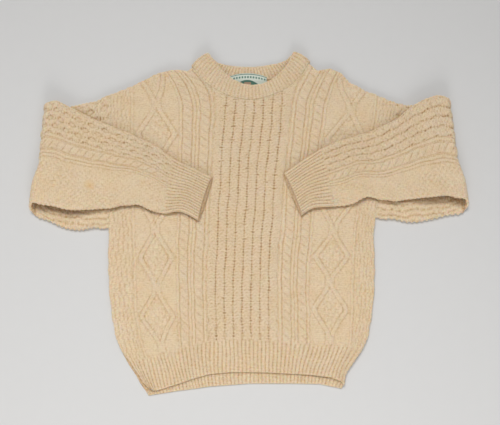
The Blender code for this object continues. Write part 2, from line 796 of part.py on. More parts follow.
def label(colour):
    """A woven label lying from the back neckband down on to the inside of the back."""
    data = bpy.data.meshes.new("label")
    columns, rows = 10, 8
    places = []
    for row in range(rows + 1):
        for column in range(columns + 1):
            across = 2 * column / columns - 1
            down = row / rows
            y = LABEL_TOP - LABEL_LENGTH * down - LABEL_ARCH * across**2 * (1 - down)
            step = np.clip((y - 291.0) / 9.0, 0, 1)
            z = WALL + GAP + 1.75 * step * step * (3 - 2 * step)
            places.append(((LABEL_MIDDLE + LABEL_HALF * across) * MM, y * MM, z * MM))
    faces = [
        [r * (columns + 1) + c + i for i in (0, columns + 1, columns + 2, 1)]
        for r in range(rows) for c in range(columns)
    ]
    data.from_pydata(places, [], faces)
    data.materials.append(colour)
    made = bpy.data.objects.new("label", data)
    bpy.context.scene.collection.objects.link(made)
    thick = made.modifiers.new("thickness", "SOLIDIFY")
    thick.thickness = LABEL_THICK * MM
    thick.offset = 1.0
    return made


def centre_on_floor(pieces):
    """Puts the origin under the middle of the whole outline."""
    corners = np.array([v.co for piece in pieces for v in piece.data.vertices])
    middle = (corners.min(0) + corners.max(0)) / 2
    for piece in pieces:
        for vertex in piece.data.vertices:
            vertex.co.x -= middle[0]
            vertex.co.y -= middle[1]


def main():
    for old in list(bpy.data.objects):
        bpy.data.objects.remove(old)
    wool = paint("cream_wool", WOOL, 0.9)
    woven = paint("label_weave", LABEL_GROUND, 0.7)
    pieces = [
        panel("back", body_outline(BACK_HEM, BACK_NECK), lambda x, y: 0.0, lambda x, y: WALL, stitch_back, wool),
        panel("front", body_outline(FRONT_HEM, FRONT_NECK), front_under, front_over, stitch_front, wool),
        sleeve("sleeve_right", RIGHT_ARM, RIGHT_FOREARM, RIGHT_STITCHES, wool),
        sleeve("sleeve_left", LEFT_ARM, LEFT_FOREARM, LEFT_STITCHES, wool),
        neckband(wool),
        label(woven),
    ]
    centre_on_floor(pieces)


main()
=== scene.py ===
"""A hand-knit Aran sweater lying flat, with every stitch panel raised in its cloth.

Lengths are in millimetres on the sweater as drawn, and become metres in the frame when a mesh is
made. Left and right are as worn, so the right sleeve lies at -X.
"""

import math

import bpy
import numpy as np
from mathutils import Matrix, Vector
from mathutils.geometry import delaunay_2d_cdt


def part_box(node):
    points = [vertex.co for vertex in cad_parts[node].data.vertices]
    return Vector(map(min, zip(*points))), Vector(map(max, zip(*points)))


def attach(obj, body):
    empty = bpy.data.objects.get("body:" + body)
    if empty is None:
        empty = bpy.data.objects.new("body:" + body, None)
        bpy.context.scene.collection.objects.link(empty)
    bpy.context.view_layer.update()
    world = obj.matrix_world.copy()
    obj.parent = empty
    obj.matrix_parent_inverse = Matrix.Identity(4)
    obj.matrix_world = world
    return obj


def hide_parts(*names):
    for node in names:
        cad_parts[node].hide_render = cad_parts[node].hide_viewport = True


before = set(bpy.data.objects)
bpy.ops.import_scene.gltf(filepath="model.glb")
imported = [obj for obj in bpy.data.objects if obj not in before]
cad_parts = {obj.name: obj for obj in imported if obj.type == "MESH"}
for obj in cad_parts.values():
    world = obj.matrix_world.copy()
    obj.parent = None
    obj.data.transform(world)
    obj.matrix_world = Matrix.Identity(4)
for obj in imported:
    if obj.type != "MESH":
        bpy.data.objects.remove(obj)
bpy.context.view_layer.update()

MM = 0.001

# Thickness of the cloth, the clear gap between layers, the way that the neckband's seam edge
# runs into the panels, and the thickness of the sleeves, the neckband and the label
WALL = 3.5
GAP = 0.3
SEAM_OVERLAP = 0.8
SLEEVE_THICK = 8.0
SLEEVE_WALL = 3.4
BAND_THICK = 4.0
LABEL_THICK = 0.6

# Heights of the raised stitches over the cloth
RIB_HEIGHT = 1.5
TWIST_HEIGHT = 1.3
ROPE_HEIGHT = 2.3
COMB_HEIGHT = 2.0
DIAMOND_HEIGHT = 1.9
MOSS_HEIGHT = 0.9
BASKET_HEIGHT = 0.9
BAND_RIB_HEIGHT = 1.0

# Widths and repeats of the stitch panels
ROPE_WIDTH = 18.0
ROPE_PITCH = 17.2
COMB_CELL = 18.5
COMB_PERIOD = 31.0
TWIST_HALF = 2.8
DIAMOND_HALF = 35.0
DIAMOND_CROSS = 4.5
CUFF_RIBS = 15
BAND_FRONT_RIBS = 38
BAND_BACK_RIBS = 33
STITCH_WIDE = 4.5
STITCH_TALL = 4.3
PATTERN_LOW = -258.0
COMB_STRANDS = 8
COMB_HALF = 74.0
SIDE_COLUMN = 280.0
TUBE_STEPS = 118
ELBOW_TAKEN_IN = 10.5

# The body across, in columns named below, at heights from hem to shoulder
STOPS = (-SIDE_COLUMN, -230.0, -COMB_HALF, COMB_HALF, 230.0, SIDE_COLUMN)
# How many ribs of the hem lie before each of those columns
HEM_RIBS = (0.0, 4.9, 21.5, 39.0, 55.4, 58.0)
BODY = (
    # height, right edge, right twist rib, comb right, comb left, left twist rib, left edge
    (-380, -208, -189, -76, 53, 167, 187),
    (-332, -240, -205, -84, 55, 180, 201),
    (-278, -272, -223, -88, 58, 206, 238),
    (-227, -286, -234, -89, 57, 212, 252),
    (-144, -297, -241, -90, 57, 214, 262),
    (-27, -301, -248, -87, 65, 226, 265),
    (104, -302, -254, -82, 76, 246, 290),
    (240, -305, -260, -74, 91, 275, 320),
    (345, -308, -264, -73, 94, 281, 343),
)
DIAMOND_COLUMN = 184.5
RIGHT_CROSSINGS = (-282, -160, -35, 102, 243, 384)
LEFT_CROSSINGS = (-265, -147, -39, 95, 229, 363)
TIP_RIGHT = (-305.0, 266.0)
TIP_LEFT = (321.0, 245.0)
ROPE_COLUMNS = (92.5, 125.5)
TWIST_COLUMNS = (79.2, 105.6, 112.4, 138.4, 230.0)

# Outlines between the sides, each from -X to +X
SHOULDER_RIGHT = ((-276, 277), (-238, 295), (-202, 315), (-177, 321), (-157, 322), (-140, 319))
SHOULDER_LEFT = ((149, 320), (177, 325), (202, 314), (218, 294), (253, 274), (289, 259))
FRONT_NECK = (
    (-126, 327), (-109, 302), (-95, 290), (-80, 279), (-63, 269), (-45, 261), (-23, 255),
    (0, 252), (22, 255), (42, 261), (64, 269), (84, 280), (101, 295), (116, 313), (130, 337),
)
BACK_NECK = ((-126, 327), (-100, 311), (-60, 301), (0, 296), (60, 303), (100, 318), (130, 337))
FRONT_HEM = (
    (-205, -370), (-186, -369), (-164, -362), (-123, -348), (-82, -337), (-41, -333),
    (0, -333), (41, -334), (82, -336), (123, -338), (164, -343), (185, -351), (192, -360),
)
BACK_HEM = (
    (-208, -380), (-143, -370), (-82, -362), (0, -356), (82, -356), (143, -357), (188, -366),
)
RIB_TOP = (
    (-260, -308), (-200, -299), (-144, -286), (-87, -268),
    (0, -264), (66, -270), (132, -277), (245, -279),
)

# Free edges of the neckband, from -X to +X
FRONT_FREE = (
    (-91, 358), (-74, 337), (-56, 314), (-37, 299), (-15, 289), (5, 286), (27, 289),
    (45, 297), (62, 310), (80, 330), (95, 360),
)
BACK_FREE = (
    (-91, 358), (-72, 340), (-50, 334), (-23, 331), (7, 330),
    (32, 333), (60, 338), (79, 345), (95, 360),
)
BAND_BACK_Z = 2.0
BAND_FRONT_Z = 8.0
BAND_CORNER_LIFT = 3.0
BAND_CORNER_BOW = 3.2

# Each sleeve: its edges in plan and the height of the middle of its layers, section by section
ARM_Z = SLEEVE_THICK / 2
REST_Z = 15.3
ROLL_RADIUS = 8.5
RIGHT_ARM = (
    # upper edge x, y, lower edge x, y
    (-305.5, 266, -300.5, -33),
    (-350, 247, -345, -35),
    (-400, 237, -400, -32),
    (-446, 236, -458, -6),
)
RIGHT_FOREARM = (
    # upper edge x, y, lower edge x, y, upper rise, lower rise over the resting height
    (-444, 244, -460, 18, 5.7, 5.7),
    (-425, 245, -430, 12, 4.3, 4.3),
    (-399, 234, -395, 5, 1.8, 2.8),
    (-350, 211, -343, 3, 0.4, 1.2),
    (-300, 189, -290, 9, 0.0, 0.8),
    (-249, 168, -245, 15, 0.0, 2.5),
    (-200, 143, -208, 3, 0.0, 0.8),
    (-163, 116, -182, -4, 0.0, 0.0),
    (-122, 96, -148, 0, 0.0, 1.6),
    (-81, 76, -109, -19, 0.0, 0.0),
)
LEFT_ARM = (
    (321.5, 245, 265.5, -10),
    (358, 240, 330, -18),
    (400, 241, 394, -14),
    (433, 247, 455, 1),
)
LEFT_FOREARM = (
    (433, 256, 455, 26, 5.7, 5.7),
    (407, 257, 425, 31, 4.3, 4.3),
    (360, 237, 385, 31, 1.8, 2.8),
    (314, 204, 335, 25, 0.4, 1.2),
    (254, 175, 290, 24, 0.0, 0.8),
    (217, 164, 252, 31, 0.0, 2.5),
    (180, 151, 212, 16, 0.0, 0.8),
    (152, 138, 175, 11, 0.0, 0.0),
    (112, 112, 135, 8, 0.0, 1.2),
    (72, 84, 109, -8, 0.0, 0.0),
)
CUFF_SECTION = 7

# Across each forearm: honeycomb start, strands and cell, twist rib, rope, two twist ribs, rope's hand
RIGHT_STITCHES = (4.0, 4, 16.0, 70.0, 86.5, 103.0, 110.0, -1)
LEFT_STITCHES = (3.0, 4, 17.5, 78.0, 93.5, 109.0, 116.0, 1)

# The label sewn in the back neck: half width, middle, and its edges
LABEL_HALF = 43.0
LABEL_MIDDLE = -6.0
LABEL_TOP = 314.0
LABEL_LENGTH = 46.0
LABEL_ARCH = 9.0

# A small rusty mark on the right forearm, in metres in the frame
STAIN = (-0.342, 0.065, 0.0205)

# The camera's tilt off the vertical in degrees, and its way from the sweater in metres
CAMERA_TILT = 10.0
CAMERA_AWAY = 1.483

# The sweater as drawn has its back's low corner here, which gives the way into the frame
LOW_CORNER = np.array((-305.0, -380.0))
SHIFT = np.append(np.array(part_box("back")[0][:2]) / MM - LOW_CORNER, 0.0)


def through(keys, values, at):
    """A smooth curve through the values that stand at the keys, read at one place or many."""
    keys, values = np.asarray(keys, float), np.asarray(values, float)
    slopes = np.gradient(values, keys, axis=0)
    at = np.clip(np.asarray(at, float), keys[0], keys[-1])
    i = np.clip(np.searchsorted(keys, at, side="right") - 1, 0, len(keys) - 2)
    span = keys[i + 1] - keys[i]
    u = (at - keys[i]) / span
    if values.ndim > 1:
        span, u = span[..., None], u[..., None]
    return (
        (2 * u**3 - 3 * u**2 + 1) * values[i]
        + (u**3 - 2 * u**2 + u) * span * slopes[i]
        + (3 * u**2 - 2 * u**3) * values[i + 1]
        + (u**3 - u**2) * span * slopes[i + 1]
    )


def ease(value):
    """Nought below 0, one above 1 and a smooth step between."""
    value = np.clip(value, 0, 1)
    return value * value * (3 - 2 * value)


def dome(offset, half, flat=2.0, round_off=0.6):
    """A rounded ridge, one at its middle and nought past its half width."""
    return np.clip(1 - np.abs(offset / half) ** flat, 0, 1) ** round_off


def at_edge(distance, radius, keep):
    """How much of its thickness the cloth has this far from an edge."""
    inward = np.clip(distance / radius, 0, 1)
    return keep + (1 - keep) * np.sqrt(1 - (1 - inward) ** 2)


def blurred(values, passes=4):
    """A grid of heights smoothed along both of its ways."""
    for _ in range(passes):
        for axis in (0, 1):
            pad = [(1, 1) if a == axis else (0, 0) for a in (0, 1)]
            wide = np.pad(values, pad, mode="edge")
            count = values.shape[axis]
            parts = [np.take(wide, range(k, k + count), axis=axis) for k in range(3)]
            values = (parts[0] + 2 * parts[1] + parts[2]) / 4
    return values


def shade_in_hollows(height):
    """Painted shade where the cloth lies lower than what is round it."""
    return 0.6 * np.clip((blurred(height) - height) / 0.75, 0, 1)


def highlight_on_crests(height):
    """Painted highlight where the cloth stands higher than what is round it."""
    return np.clip((height - blurred(height, 6)) / 0.8, 0, 1)


# Stitch panels, as heights over plain cloth at (across, along) places


def twist_rib(across, along):
    """A single rib of twisted stitches, one small bead to a row."""
    bead = 0.84 + 0.16 * np.cos(2 * np.pi * (along / STITCH_TALL + across / 7.0))
    return TWIST_HEIGHT * dome(across, TWIST_HALF) * bead


def rope(across, along, hand):
    """A two-strand rope cable of slanting, rounded turns, with painted shade in the clefts between them.
    """
    u = np.clip(hand * across / (ROPE_WIDTH / 2), -1, 1)
    turn = along / ROPE_PITCH - 0.3 - 0.36 * u - 0.08 * u**3
    turn = turn - np.floor(turn)
    swell = np.clip(1 - np.abs(2 * turn - 1) ** 2.6, 0, 1) ** 0.6
    cleft = np.exp(-(((turn - np.round(turn)) * ROPE_PITCH / 1.5) ** 2))
    sides = np.clip(1 - np.abs(u * (1.13 - 0.13 * swell)) ** 3.2, 0, 1) ** 0.6
    height = ROPE_HEIGHT * sides * (0.2 + 0.8 * swell)
    # The second value is painted shade in the clefts
    return height, 0.34 * cleft * np.clip(1.0 - u**4, 0, 1)


def honeycomb(across, along, strands, cell, sway, full, reach=4.0):
    """Strands that sway from one neighbour to the other, with painted shade lines in the gutters and
    turns, and a painted shadow where two cross.
    """
    phase = 2 * np.pi * along / COMB_PERIOD
    height = np.zeros_like(across + along)
    drawn = np.zeros_like(height)
    for strand in range(strands):
        centre = (strand + 0.5) * cell + sway * np.cos(phase + np.pi * strand)
        turn = (along + 0.9 * np.abs(across - centre)) / (COMB_PERIOD / 4)
        yarn = dome(across - centre, full * cell / 2, 3.0, 0.55)
        height = np.maximum(height, (1 + 0.22 * np.cos(2 * np.pi * turn)) * yarn)
        from_turn = (turn - np.floor(turn) - 0.5) * COMB_PERIOD / 4
        drawn = np.maximum(drawn, 0.42 * yarn * np.exp(-((from_turn / 1.3) ** 2)))
    # Painted shadow ticks where two strands cross, and painted shade down each gutter
    for edge in range(1, strands):
        gap = np.abs(across - edge * cell)
        beat = along / COMB_PERIOD - (edge - 1) / 2
        from_tick = (beat - np.round(beat)) * COMB_PERIOD + 0.12 * gap**2
        tick = np.exp(-((from_tick / 1.5) ** 2)) * (1 - ease((gap - reach) / 3.2))
        gutter = np.exp(-((gap / 1.5) ** 2))
        depth = 0.9 + 0.22 * np.sin(along / 23.0 + 2.1 * edge) * np.sin(along / 61.0 + edge)
        drawn = np.maximum(drawn, np.maximum(0.72 * tick, gutter * depth))
        height = height - 0.5 * tick * height
    return COMB_HEIGHT * height, drawn


def small_eyes(across, along, strands, cell, slant):
    """Honeycomb drawn close: a ringed eye where strands part, or a slanting dash."""
    knuckles = 1 + 0.2 * np.cos(2 * np.pi * (along + 0.6 * across) / (COMB_PERIOD / 2))
    sway, full, drawn = (1.8, 0.91, 0.5) if slant else (3.0, 0.85, 0.25)
    height, lines = honeycomb(across, along, strands, cell, sway, full, 2.5)
    height = 1.15 * np.maximum(height, 0.3 * COMB_HEIGHT) * knuckles
    lines = drawn * lines
    for edge in range(strands + 1):
        gap = across - edge * cell
        beat = along / COMB_PERIOD - edge / 2
        number = np.round(beat)
        from_eye = (beat - number) * COMB_PERIOD
        dark = 0.8 + 0.35 * np.sin(2.3 * number + 4.1 * edge)
        # Painted shade along each dash, and a painted shadow on each eye's upper rim, where the strand
        # shades it
        if slant:
            thin = np.exp(-(((gap - slant * from_eye) / 1.4) ** 2))
            dash = thin * (1 - ease((np.abs(from_eye) - 7.5) / 4.0))
            height = height - dash
            lines = np.maximum(lines, 1.05 * dark * dash)
        else:
            reach = np.hypot(gap, 0.62 * from_eye)
            ring = np.exp(-(((reach - 5.0) / 1.5) ** 2))
            crescent = ring * np.clip(0.45 - 0.14 * gap - 0.05 * from_eye, 0.12, 1)
            height = height - 0.5 * crescent + 0.35 * dome(reach, 3.4)
            lines = np.maximum(lines, 0.72 * dark * crescent)
    return height, lines


def diamonds(across, along, crossings):
    """Two bands that cross and part again, with broken ribs inside each diamond."""
    keys, outs = [crossings[0] - 12.0], [DIAMOND_CROSS]
    for low, high in zip(crossings, crossings[1:]):
        keys += [low + 12.0, (low + high) / 2, high - 12.0]
        outs += [DIAMOND_CROSS, DIAMOND_HALF, DIAMOND_CROSS]
    out = sum(np.interp(along + step, keys, outs) for step in (-5, -2, 0, 2, 5)) / 5
    slant = 1 - 0.15 * ease((out - DIAMOND_CROSS) / 4)
    reach = (np.abs(across) - out) * slant
    twin = 1 - 0.2 * dome(reach, 1.3)
    beads = 1 + 0.12 * np.cos(2 * np.pi * along / (2 * STITCH_TALL))
    band = DIAMOND_HEIGHT * 1.25 * dome(reach, 4.4, 2.0, 0.8) * twin * beads
    for crossing in crossings:
        near = along - crossing
        u = np.clip(across / 9.2, -1, 1)
        share = near / 30.0 + 0.42 * u
        over = DIAMOND_HEIGHT * 1.15 * dome(share, 0.36, 2.4) * (1 - u**2) ** 0.45
        within = (np.abs(near) < 17) & (np.abs(across) < 9.2)
        band = np.where(within, np.maximum(0.55 * band, over), band)
    across_in = across + 1.3 * np.sin(along / 8.0 + across / 13.0)
    across_in = across_in + 0.9 * np.sin(along / 4.7 + across / 6.0)
    column = np.round(across_in / 7.5)
    beat = np.interp(along, crossings, np.arange(len(crossings)) * 7.0)
    broken = ease(0.75 + 1.1 * np.cos(2 * np.pi * (beat + column / 2)))
    lumps = 0.8 + 0.4 * np.sin(along / 5.3 + across / 3.7)
    bars = lumps * MOSS_HEIGHT * dome(across_in - 7.5 * column, 3.0) * broken
    inside = ease((out - 6.0 - np.abs(across)) / 2.0)
    above = along > crossings[0] - 12.0
    return np.where(above, np.maximum(band, bars * inside), 0)


def basket(across, along):
    """Blocks of broken ribs along a side seam, each block set off from the one below it."""
    across = across + 1.2 * np.sin(along / 15.0 + across / 11.0) + 0.6 * np.sin(along / 6.1)
    row = (along + 290.0 + 3.0 * np.sin(across / 7.0)) / 29.0
    block = np.floor(row)
    column = across / 8.6 + block / 2
    from_bar = (column - np.round(column)) * 8.6
    ends = 0.3 + 0.7 * dome(row - block - 0.5, 0.5, 4.0)
    knots = 0.62 + 0.38 * np.cos(2 * np.pi * along / (2 * STITCH_TALL) + 0.8 * across)
    return BASKET_HEIGHT * 1.7 * dome(from_bar, 3.3) * ends * knots


def ribs(number, height):
    """Upright ribs, numbered from one side, with a rounded crest at the middle of each."""
    wave = 0.5 - 0.5 * np.cos(2 * np.pi * number)
    return height * (1.25 * wave**0.75 - 0.15)


def shade_in_valleys(welt):
    """Lines of painted shade down the low parts between ribs."""
    return 0.5 * np.clip(1 - welt / RIB_HEIGHT, 0, 1) ** 2


def purled(height):
    """One on plain purl cloth and nought on raised stitches."""
    return np.clip(1 - height / 0.5, 0, 1)


def fields_of(face, other):
    """The fields that the wool reads, for the places of the stitched face and then of the other."""
    # The fields: painted shade in hollows and folds, lines of painted shade, a painted highlight on
    # crests and edges, and where purl cloth lies
    names = ("painted_shade", "dots", "crest", "purl")
    return {name: np.append(first, second) for name, first, second in zip(names, face, other)}


# The two body panels


def body_x(column, height):
    """Where a column of the pattern lies across the body at a height."""
    table = np.array(BODY, float)
    column, height = np.broadcast_arrays(np.asarray(column, float), np.asarray(height, float))
    rows = through(table[:, 0], table[:, 1:], height)
    stops = np.array(STOPS)
    i = np.clip(np.searchsorted(stops, column, side="right") - 1, 0, len(stops) - 2)
    start = np.take_along_axis(rows, i[..., None], -1)[..., 0]
    end = np.take_along_axis(rows, i[..., None] + 1, -1)[..., 0]
    aside = np.abs(column)
    pulled = ease((aside - 56.0) / 24.0) * (1 - ease((aside - 118.0) / 104.0))
    to_right = -29.0 * np.clip((height - 220.0) / 82.0, 0, 1.2) ** 2.2
    to_left = 25.0 * np.clip((height - 235.0) / 75.0, 0, 1.2) ** 1.6
    bend = pulled * np.where(column < 0, to_right, to_left)
    return start + (end - start) * (column - stops[i]) / (stops[i + 1] - stops[i]) + bend


def hollow_under_front(x, y):
    """How far the front stands off the back: soft swells that die out at the seams."""
    across = np.cos(np.pi * np.clip(x / 330.0, -1, 1) / 2)
    return 0.5 + 0.7 * across * (0.5 + 0.5 * np.sin(y / 47.0 + x / 90.0))


def front_under(x, y):
    return WALL + GAP + hollow_under_front(x, y)


def soft_swells(x, y):
    """Shallow unevenness of cloth that lies by its own weight."""
    return (
        0.35 * np.sin(x / 31.0 + 1.3 * np.sin(y / 57.0))
        + 0.3 * np.sin(y / 26.0 + 1.7 * np.sin(x / 49.0) + 1.0)
        + 0.22 * np.sin((x + y) / 17.0 + 2.0 * np.sin(x / 71.0))
    )


# Creases in the front: across, lowest, highest, half width and depth
CREASES = (
    (-151, -290, -205, 7.0, 2.4),
    (-88, -290, -180, 5.0, 1.6),
    (-226, -310, -240, 8.0, 1.6),
    (-190, -235, -180, 9.0, -1.2),
)


def creases(x, y):
    """Soft troughs in the cloth, each deepest at its middle."""
    depth = 0 * x
    for middle, low, high, half, deep in CREASES:
        along = np.clip((y - low) / (high - low), 0, 1)
        sway = 3.0 * np.sin(y / 23.0 + middle)
        depth = depth + deep * np.sin(np.pi * along) * np.exp(-(((x - middle - sway) / half) ** 2))
    return depth


def body_relief(column, along):
    """Height of all the stitch panels of the front, and lines of painted shade in their gutters, clefts
    and welt.
    """
    side, aside = np.sign(column), np.abs(column)
    knotty = ease((-185.0 - along) / 60.0)
    tick_reach = 1.8 + 2.6 * ease((along + 60.0) / 180.0)
    comb, drawn = honeycomb(
        column + COMB_HALF, along - PATTERN_LOW, COMB_STRANDS, COMB_CELL,
        0.8 + 2.0 * knotty, 0.955, tick_reach,
    )
    in_comb = aside < COMB_HALF
    height = np.where(in_comb, comb, 0)
    drawn = np.where(in_comb, drawn, 0)
    for centre in TWIST_COLUMNS:
        height = np.maximum(height, twist_rib(aside - centre, along))
    start = PATTERN_LOW - np.where(side < 0, 14.0, 8.0)
    for centre in ROPE_COLUMNS:
        turns, clefts = rope(column - side * centre, along - start, -1)
        on_rope = np.abs(aside - centre) < ROPE_WIDTH / 2
        height = np.where(on_rope, turns, height)
        drawn = np.where(on_rope, clefts, drawn)
        # Painted shade along both edges of each rope
        edge = np.abs(np.abs(aside - centre) - ROPE_WIDTH / 2 - 0.4)
        drawn = np.maximum(drawn, 0.4 * np.exp(-((edge / 1.2) ** 2)))
    for way, crossings in ((-1, RIGHT_CROSSINGS), (1, LEFT_CROSSINGS)):
        bands = diamonds(column - way * DIAMOND_COLUMN, along, crossings)
        zone = (side == way) & (aside > 142.0) & (aside < 226.0)
        height = np.where(zone, np.maximum(height, bands), height)
    blocks = basket(aside - 235.5, along)
    height = np.where(aside > 235.5, blocks, height)
    top = np.interp(body_x(column, -285.0), *zip(*RIB_TOP))
    welt = ribs(np.interp(column, STOPS, HEM_RIBS), RIB_HEIGHT)
    above = ease((along - top + 6.0) / 7.0)
    return above * height + (1 - above) * welt, above * drawn + (1 - above) * shade_in_valleys(welt)


def spaced(*stretches):
    """Places along stretches of (start, end, steps), each starting where the last one ended."""
    places = [np.array([stretches[0][0]])]
    for start, end, steps in stretches:
        places.append(np.linspace(start, end, steps + 1)[1:])
    return np.concatenate(places)


SIDE_STEPS = ((275.4, 277.2, 1), (277.2, 278.5, 1), (278.5, 279.4, 1), (279.4, SIDE_COLUMN, 1))


def front_columns():
    """Columns of the front's net, close together where the stitches are fine."""
    cell = np.array((1.2, 2.6, 4.6, 6.9, 9.25, 11.6, 13.9, 15.9, 17.3, 18.5))
    comb = [-COMB_HALF + k * COMB_CELL + cell for k in range(COMB_STRANDS)]
    comb = np.concatenate([[-COMB_HALF]] + comb)
    half = spaced(
        (COMB_HALF, 76.4, 2), (76.4, 82.0, 4), (82.0, 83.5, 1), (83.5, 101.5, 10), (101.5, 102.8, 1),
        (102.8, 108.4, 4), (108.4, 109.6, 1), (109.6, 115.2, 4), (115.2, 116.5, 1),
        (116.5, 134.5, 10), (134.5, 135.6, 1), (135.6, 141.2, 4), (141.2, 227.2, 41),
        (227.2, 232.8, 3), (232.8, 275.4, 18), *SIDE_STEPS,
    )[1:]
    return np.concatenate([-half[::-1], comb, half])


EDGE_STEPS = np.array((0.0, 0.5, 1.4, 2.7, 4.4))


def rows_between(low, high, count):
    """Heights from low to high for each column, close together at both ends."""
    inner = np.linspace(0, 1, count - 2 * len(EDGE_STEPS) + 2)[1:-1]
    first, last = low[:, None] + EDGE_STEPS, high[:, None] - EDGE_STEPS[::-1]
    middle = first[:, -1:] + (last[:, :1] - first[:, -1:]) * inner
    return np.hstack([first, middle, last])


def line_at(columns, line, start):
    """The height at which each column meets a line given across the body."""
    height = np.full(len(columns), start)
    for _ in range(40):
        height = np.interp(body_x(columns, height), *zip(*line))
    return height


def lay_body(columns, hem, neck, count):
    """Places across and along a body panel for a net of columns and rows."""
    top = (TIP_RIGHT, *SHOULDER_RIGHT, *neck, *SHOULDER_LEFT, TIP_LEFT)
    low, high = line_at(columns, hem, -350.0), line_at(columns, top, 290.0)
    knobs = 0.8 * np.sin(columns * 0.83) + 0.9 * np.sin(columns / 4.3 + 1.2 * np.sin(columns / 13.0))
    high = high + knobs * ease((np.abs(columns) - 160.0) / 15.0)
    along = rows_between(low, high, count)
    x = body_x(columns[:, None], along)
    for side, corner in ((-1, hem[0]), (1, hem[-1])):
        near = ease((side * columns - 225.0) / 55.0)[:, None]
        end = 0 if side < 0 else -1
        pull = corner[0] - x[end, 0]
        x = x + near * pull * np.exp(-(along - low[:, None]) / 9.0)
        under_arm = along < (TIP_RIGHT, TIP_LEFT)[side > 0][1] - 270.0
        rough = 0.7 * np.sin(2 * np.pi * along / 8.9)
        rough = rough + 0.9 * np.sin(along / 7.3 + 1.1 * np.sin(along / 19.0))
        to_edge = ease((side * columns - 262.0) / 18.0)[:, None]
        x = x + side * to_edge * np.where(under_arm, 0.8 * rough, 0.6)
    calm = ease((SIDE_COLUMN - np.abs(columns)) / 20.0)[:, None]
    waver = 0.9 * np.sin(along / 27.0 + columns[:, None] / 33.0 + 0.8 * np.sin(along / 61.0))
    waver = waver + 0.5 * np.sin(along / 10.7 + columns[:, None] / 16.0)
    return x + calm * waver, along, low, high


def by_neck(x, along):
    return (np.abs(x) < 132.0) & (along > 200.0)


def edge_share(columns, x, along, low, high):
    """How much of the wall's thickness a panel has at each place, from its kinds of edge."""
    aside = SIDE_COLUMN - np.abs(columns)[:, None] + 0 * along
    top = np.where(by_neck(x, along), 1.0, at_edge(high[:, None] - along, 4.5, 0.4))
    sides = np.where(along < -30.0, at_edge(aside, 4.5, 0.4), 1.0)
    return top * at_edge(along - low[:, None], 3.6, 0.4) * sides


# Meshes made from nets of places


def net_faces(rows, columns, start=0, closed=False):
    """Four-sided faces over a net whose places are numbered row by row."""
    numbers = start + np.arange(rows * columns).reshape(rows, columns)
    if closed:
        numbers = np.hstack([numbers, numbers[:, :1]])
    corners = (numbers[:-1, :-1], numbers[1:, :-1], numbers[1:, 1:], numbers[:-1, 1:])
    return np.stack(corners, axis=-1).reshape(-1, 4)


def make_piece(name, places, faces, finish, stitches, fields):
    """A closed piece with its stitch map and its fields, in the frame and facing outwards."""
    places = (np.asarray(places) + SHIFT) * MM
    corners = np.array([face[:3] for face in faces])
    first, second, third = places[corners[:, 0]], places[corners[:, 1]], places[corners[:, 2]]
    volume = np.sum(first * np.cross(second, third))
    if volume < 0:
        faces = [face[::-1] for face in faces]
    mesh = bpy.data.meshes.new(name)
    mesh.from_pydata(places.tolist(), [], faces)
    mesh.shade_smooth()
    corners = np.zeros(len(mesh.loops), np.int32)
    mesh.loops.foreach_get("vertex_index", corners)
    layer = mesh.uv_layers.new(name="stitches")
    layer.data.foreach_set("uv", np.asarray(stitches, np.float32)[corners].ravel())
    for field, values in fields.items():
        kept = mesh.attributes.new(field, "FLOAT", "POINT")
        kept.data.foreach_set("value", np.asarray(values, np.float32).ravel())
    mesh.materials.append(finish)
    piece = bpy.data.objects.new(name, mesh)
    bpy.context.scene.collection.objects.link(piece)
    return piece


def border(rows, columns):
    """Numbers of a net's outer places, once round."""
    numbers = np.arange(rows * columns).reshape(rows, columns)
    sides = (numbers[:-1, 0], numbers[-1, :-1], numbers[:0:-1, -1], numbers[0, :0:-1])
    return np.concatenate(sides)


def slab_faces(rows, columns):
    """Faces over an upper net and a lower one numbered after it, with the sides between them."""
    start, rim = rows * columns, border(rows, columns)
    following = np.roll(rim, -1)
    sides = np.stack([following, rim, rim + start, following + start], axis=-1)
    bottom = net_faces(rows, columns, start)[:, ::-1]
    return np.vstack([net_faces(rows, columns), bottom, sides]).tolist()


def tube_faces(rows, columns):
    """Faces over closed rings of places, the last ring joined to the first."""
    first = np.arange(columns)
    last = (rows - 1) * columns + first
    close = np.stack([last, first, np.roll(first, -1), np.roll(last, -1)], axis=-1)
    return np.vstack([net_faces(rows, columns, 0, closed=True), close]).tolist()


def plain_under(x, y, rim):
    """Triangles of a plain lower face inside a rim, with a coarse net of places in it."""
    outline = [Vector((x[i], y[i])) for i in rim]
    inner = []
    for row in range(-300, 300, 50):
        for column in range(-240, 260, 60):
            spot = body_x(column, row)
            inner.append(Vector((float(spot), float(row))))
    count = len(outline)
    edges = [(i, (i + 1) % count) for i in range(count)]
    made = delaunay_2d_cdt(outline + inner, edges, [list(range(count))], 1, 1e-6)
    spots, triangles, origin = made[0], made[2], made[3]
    first = [old[0] if old else None for old in origin]
    return spots, triangles, first


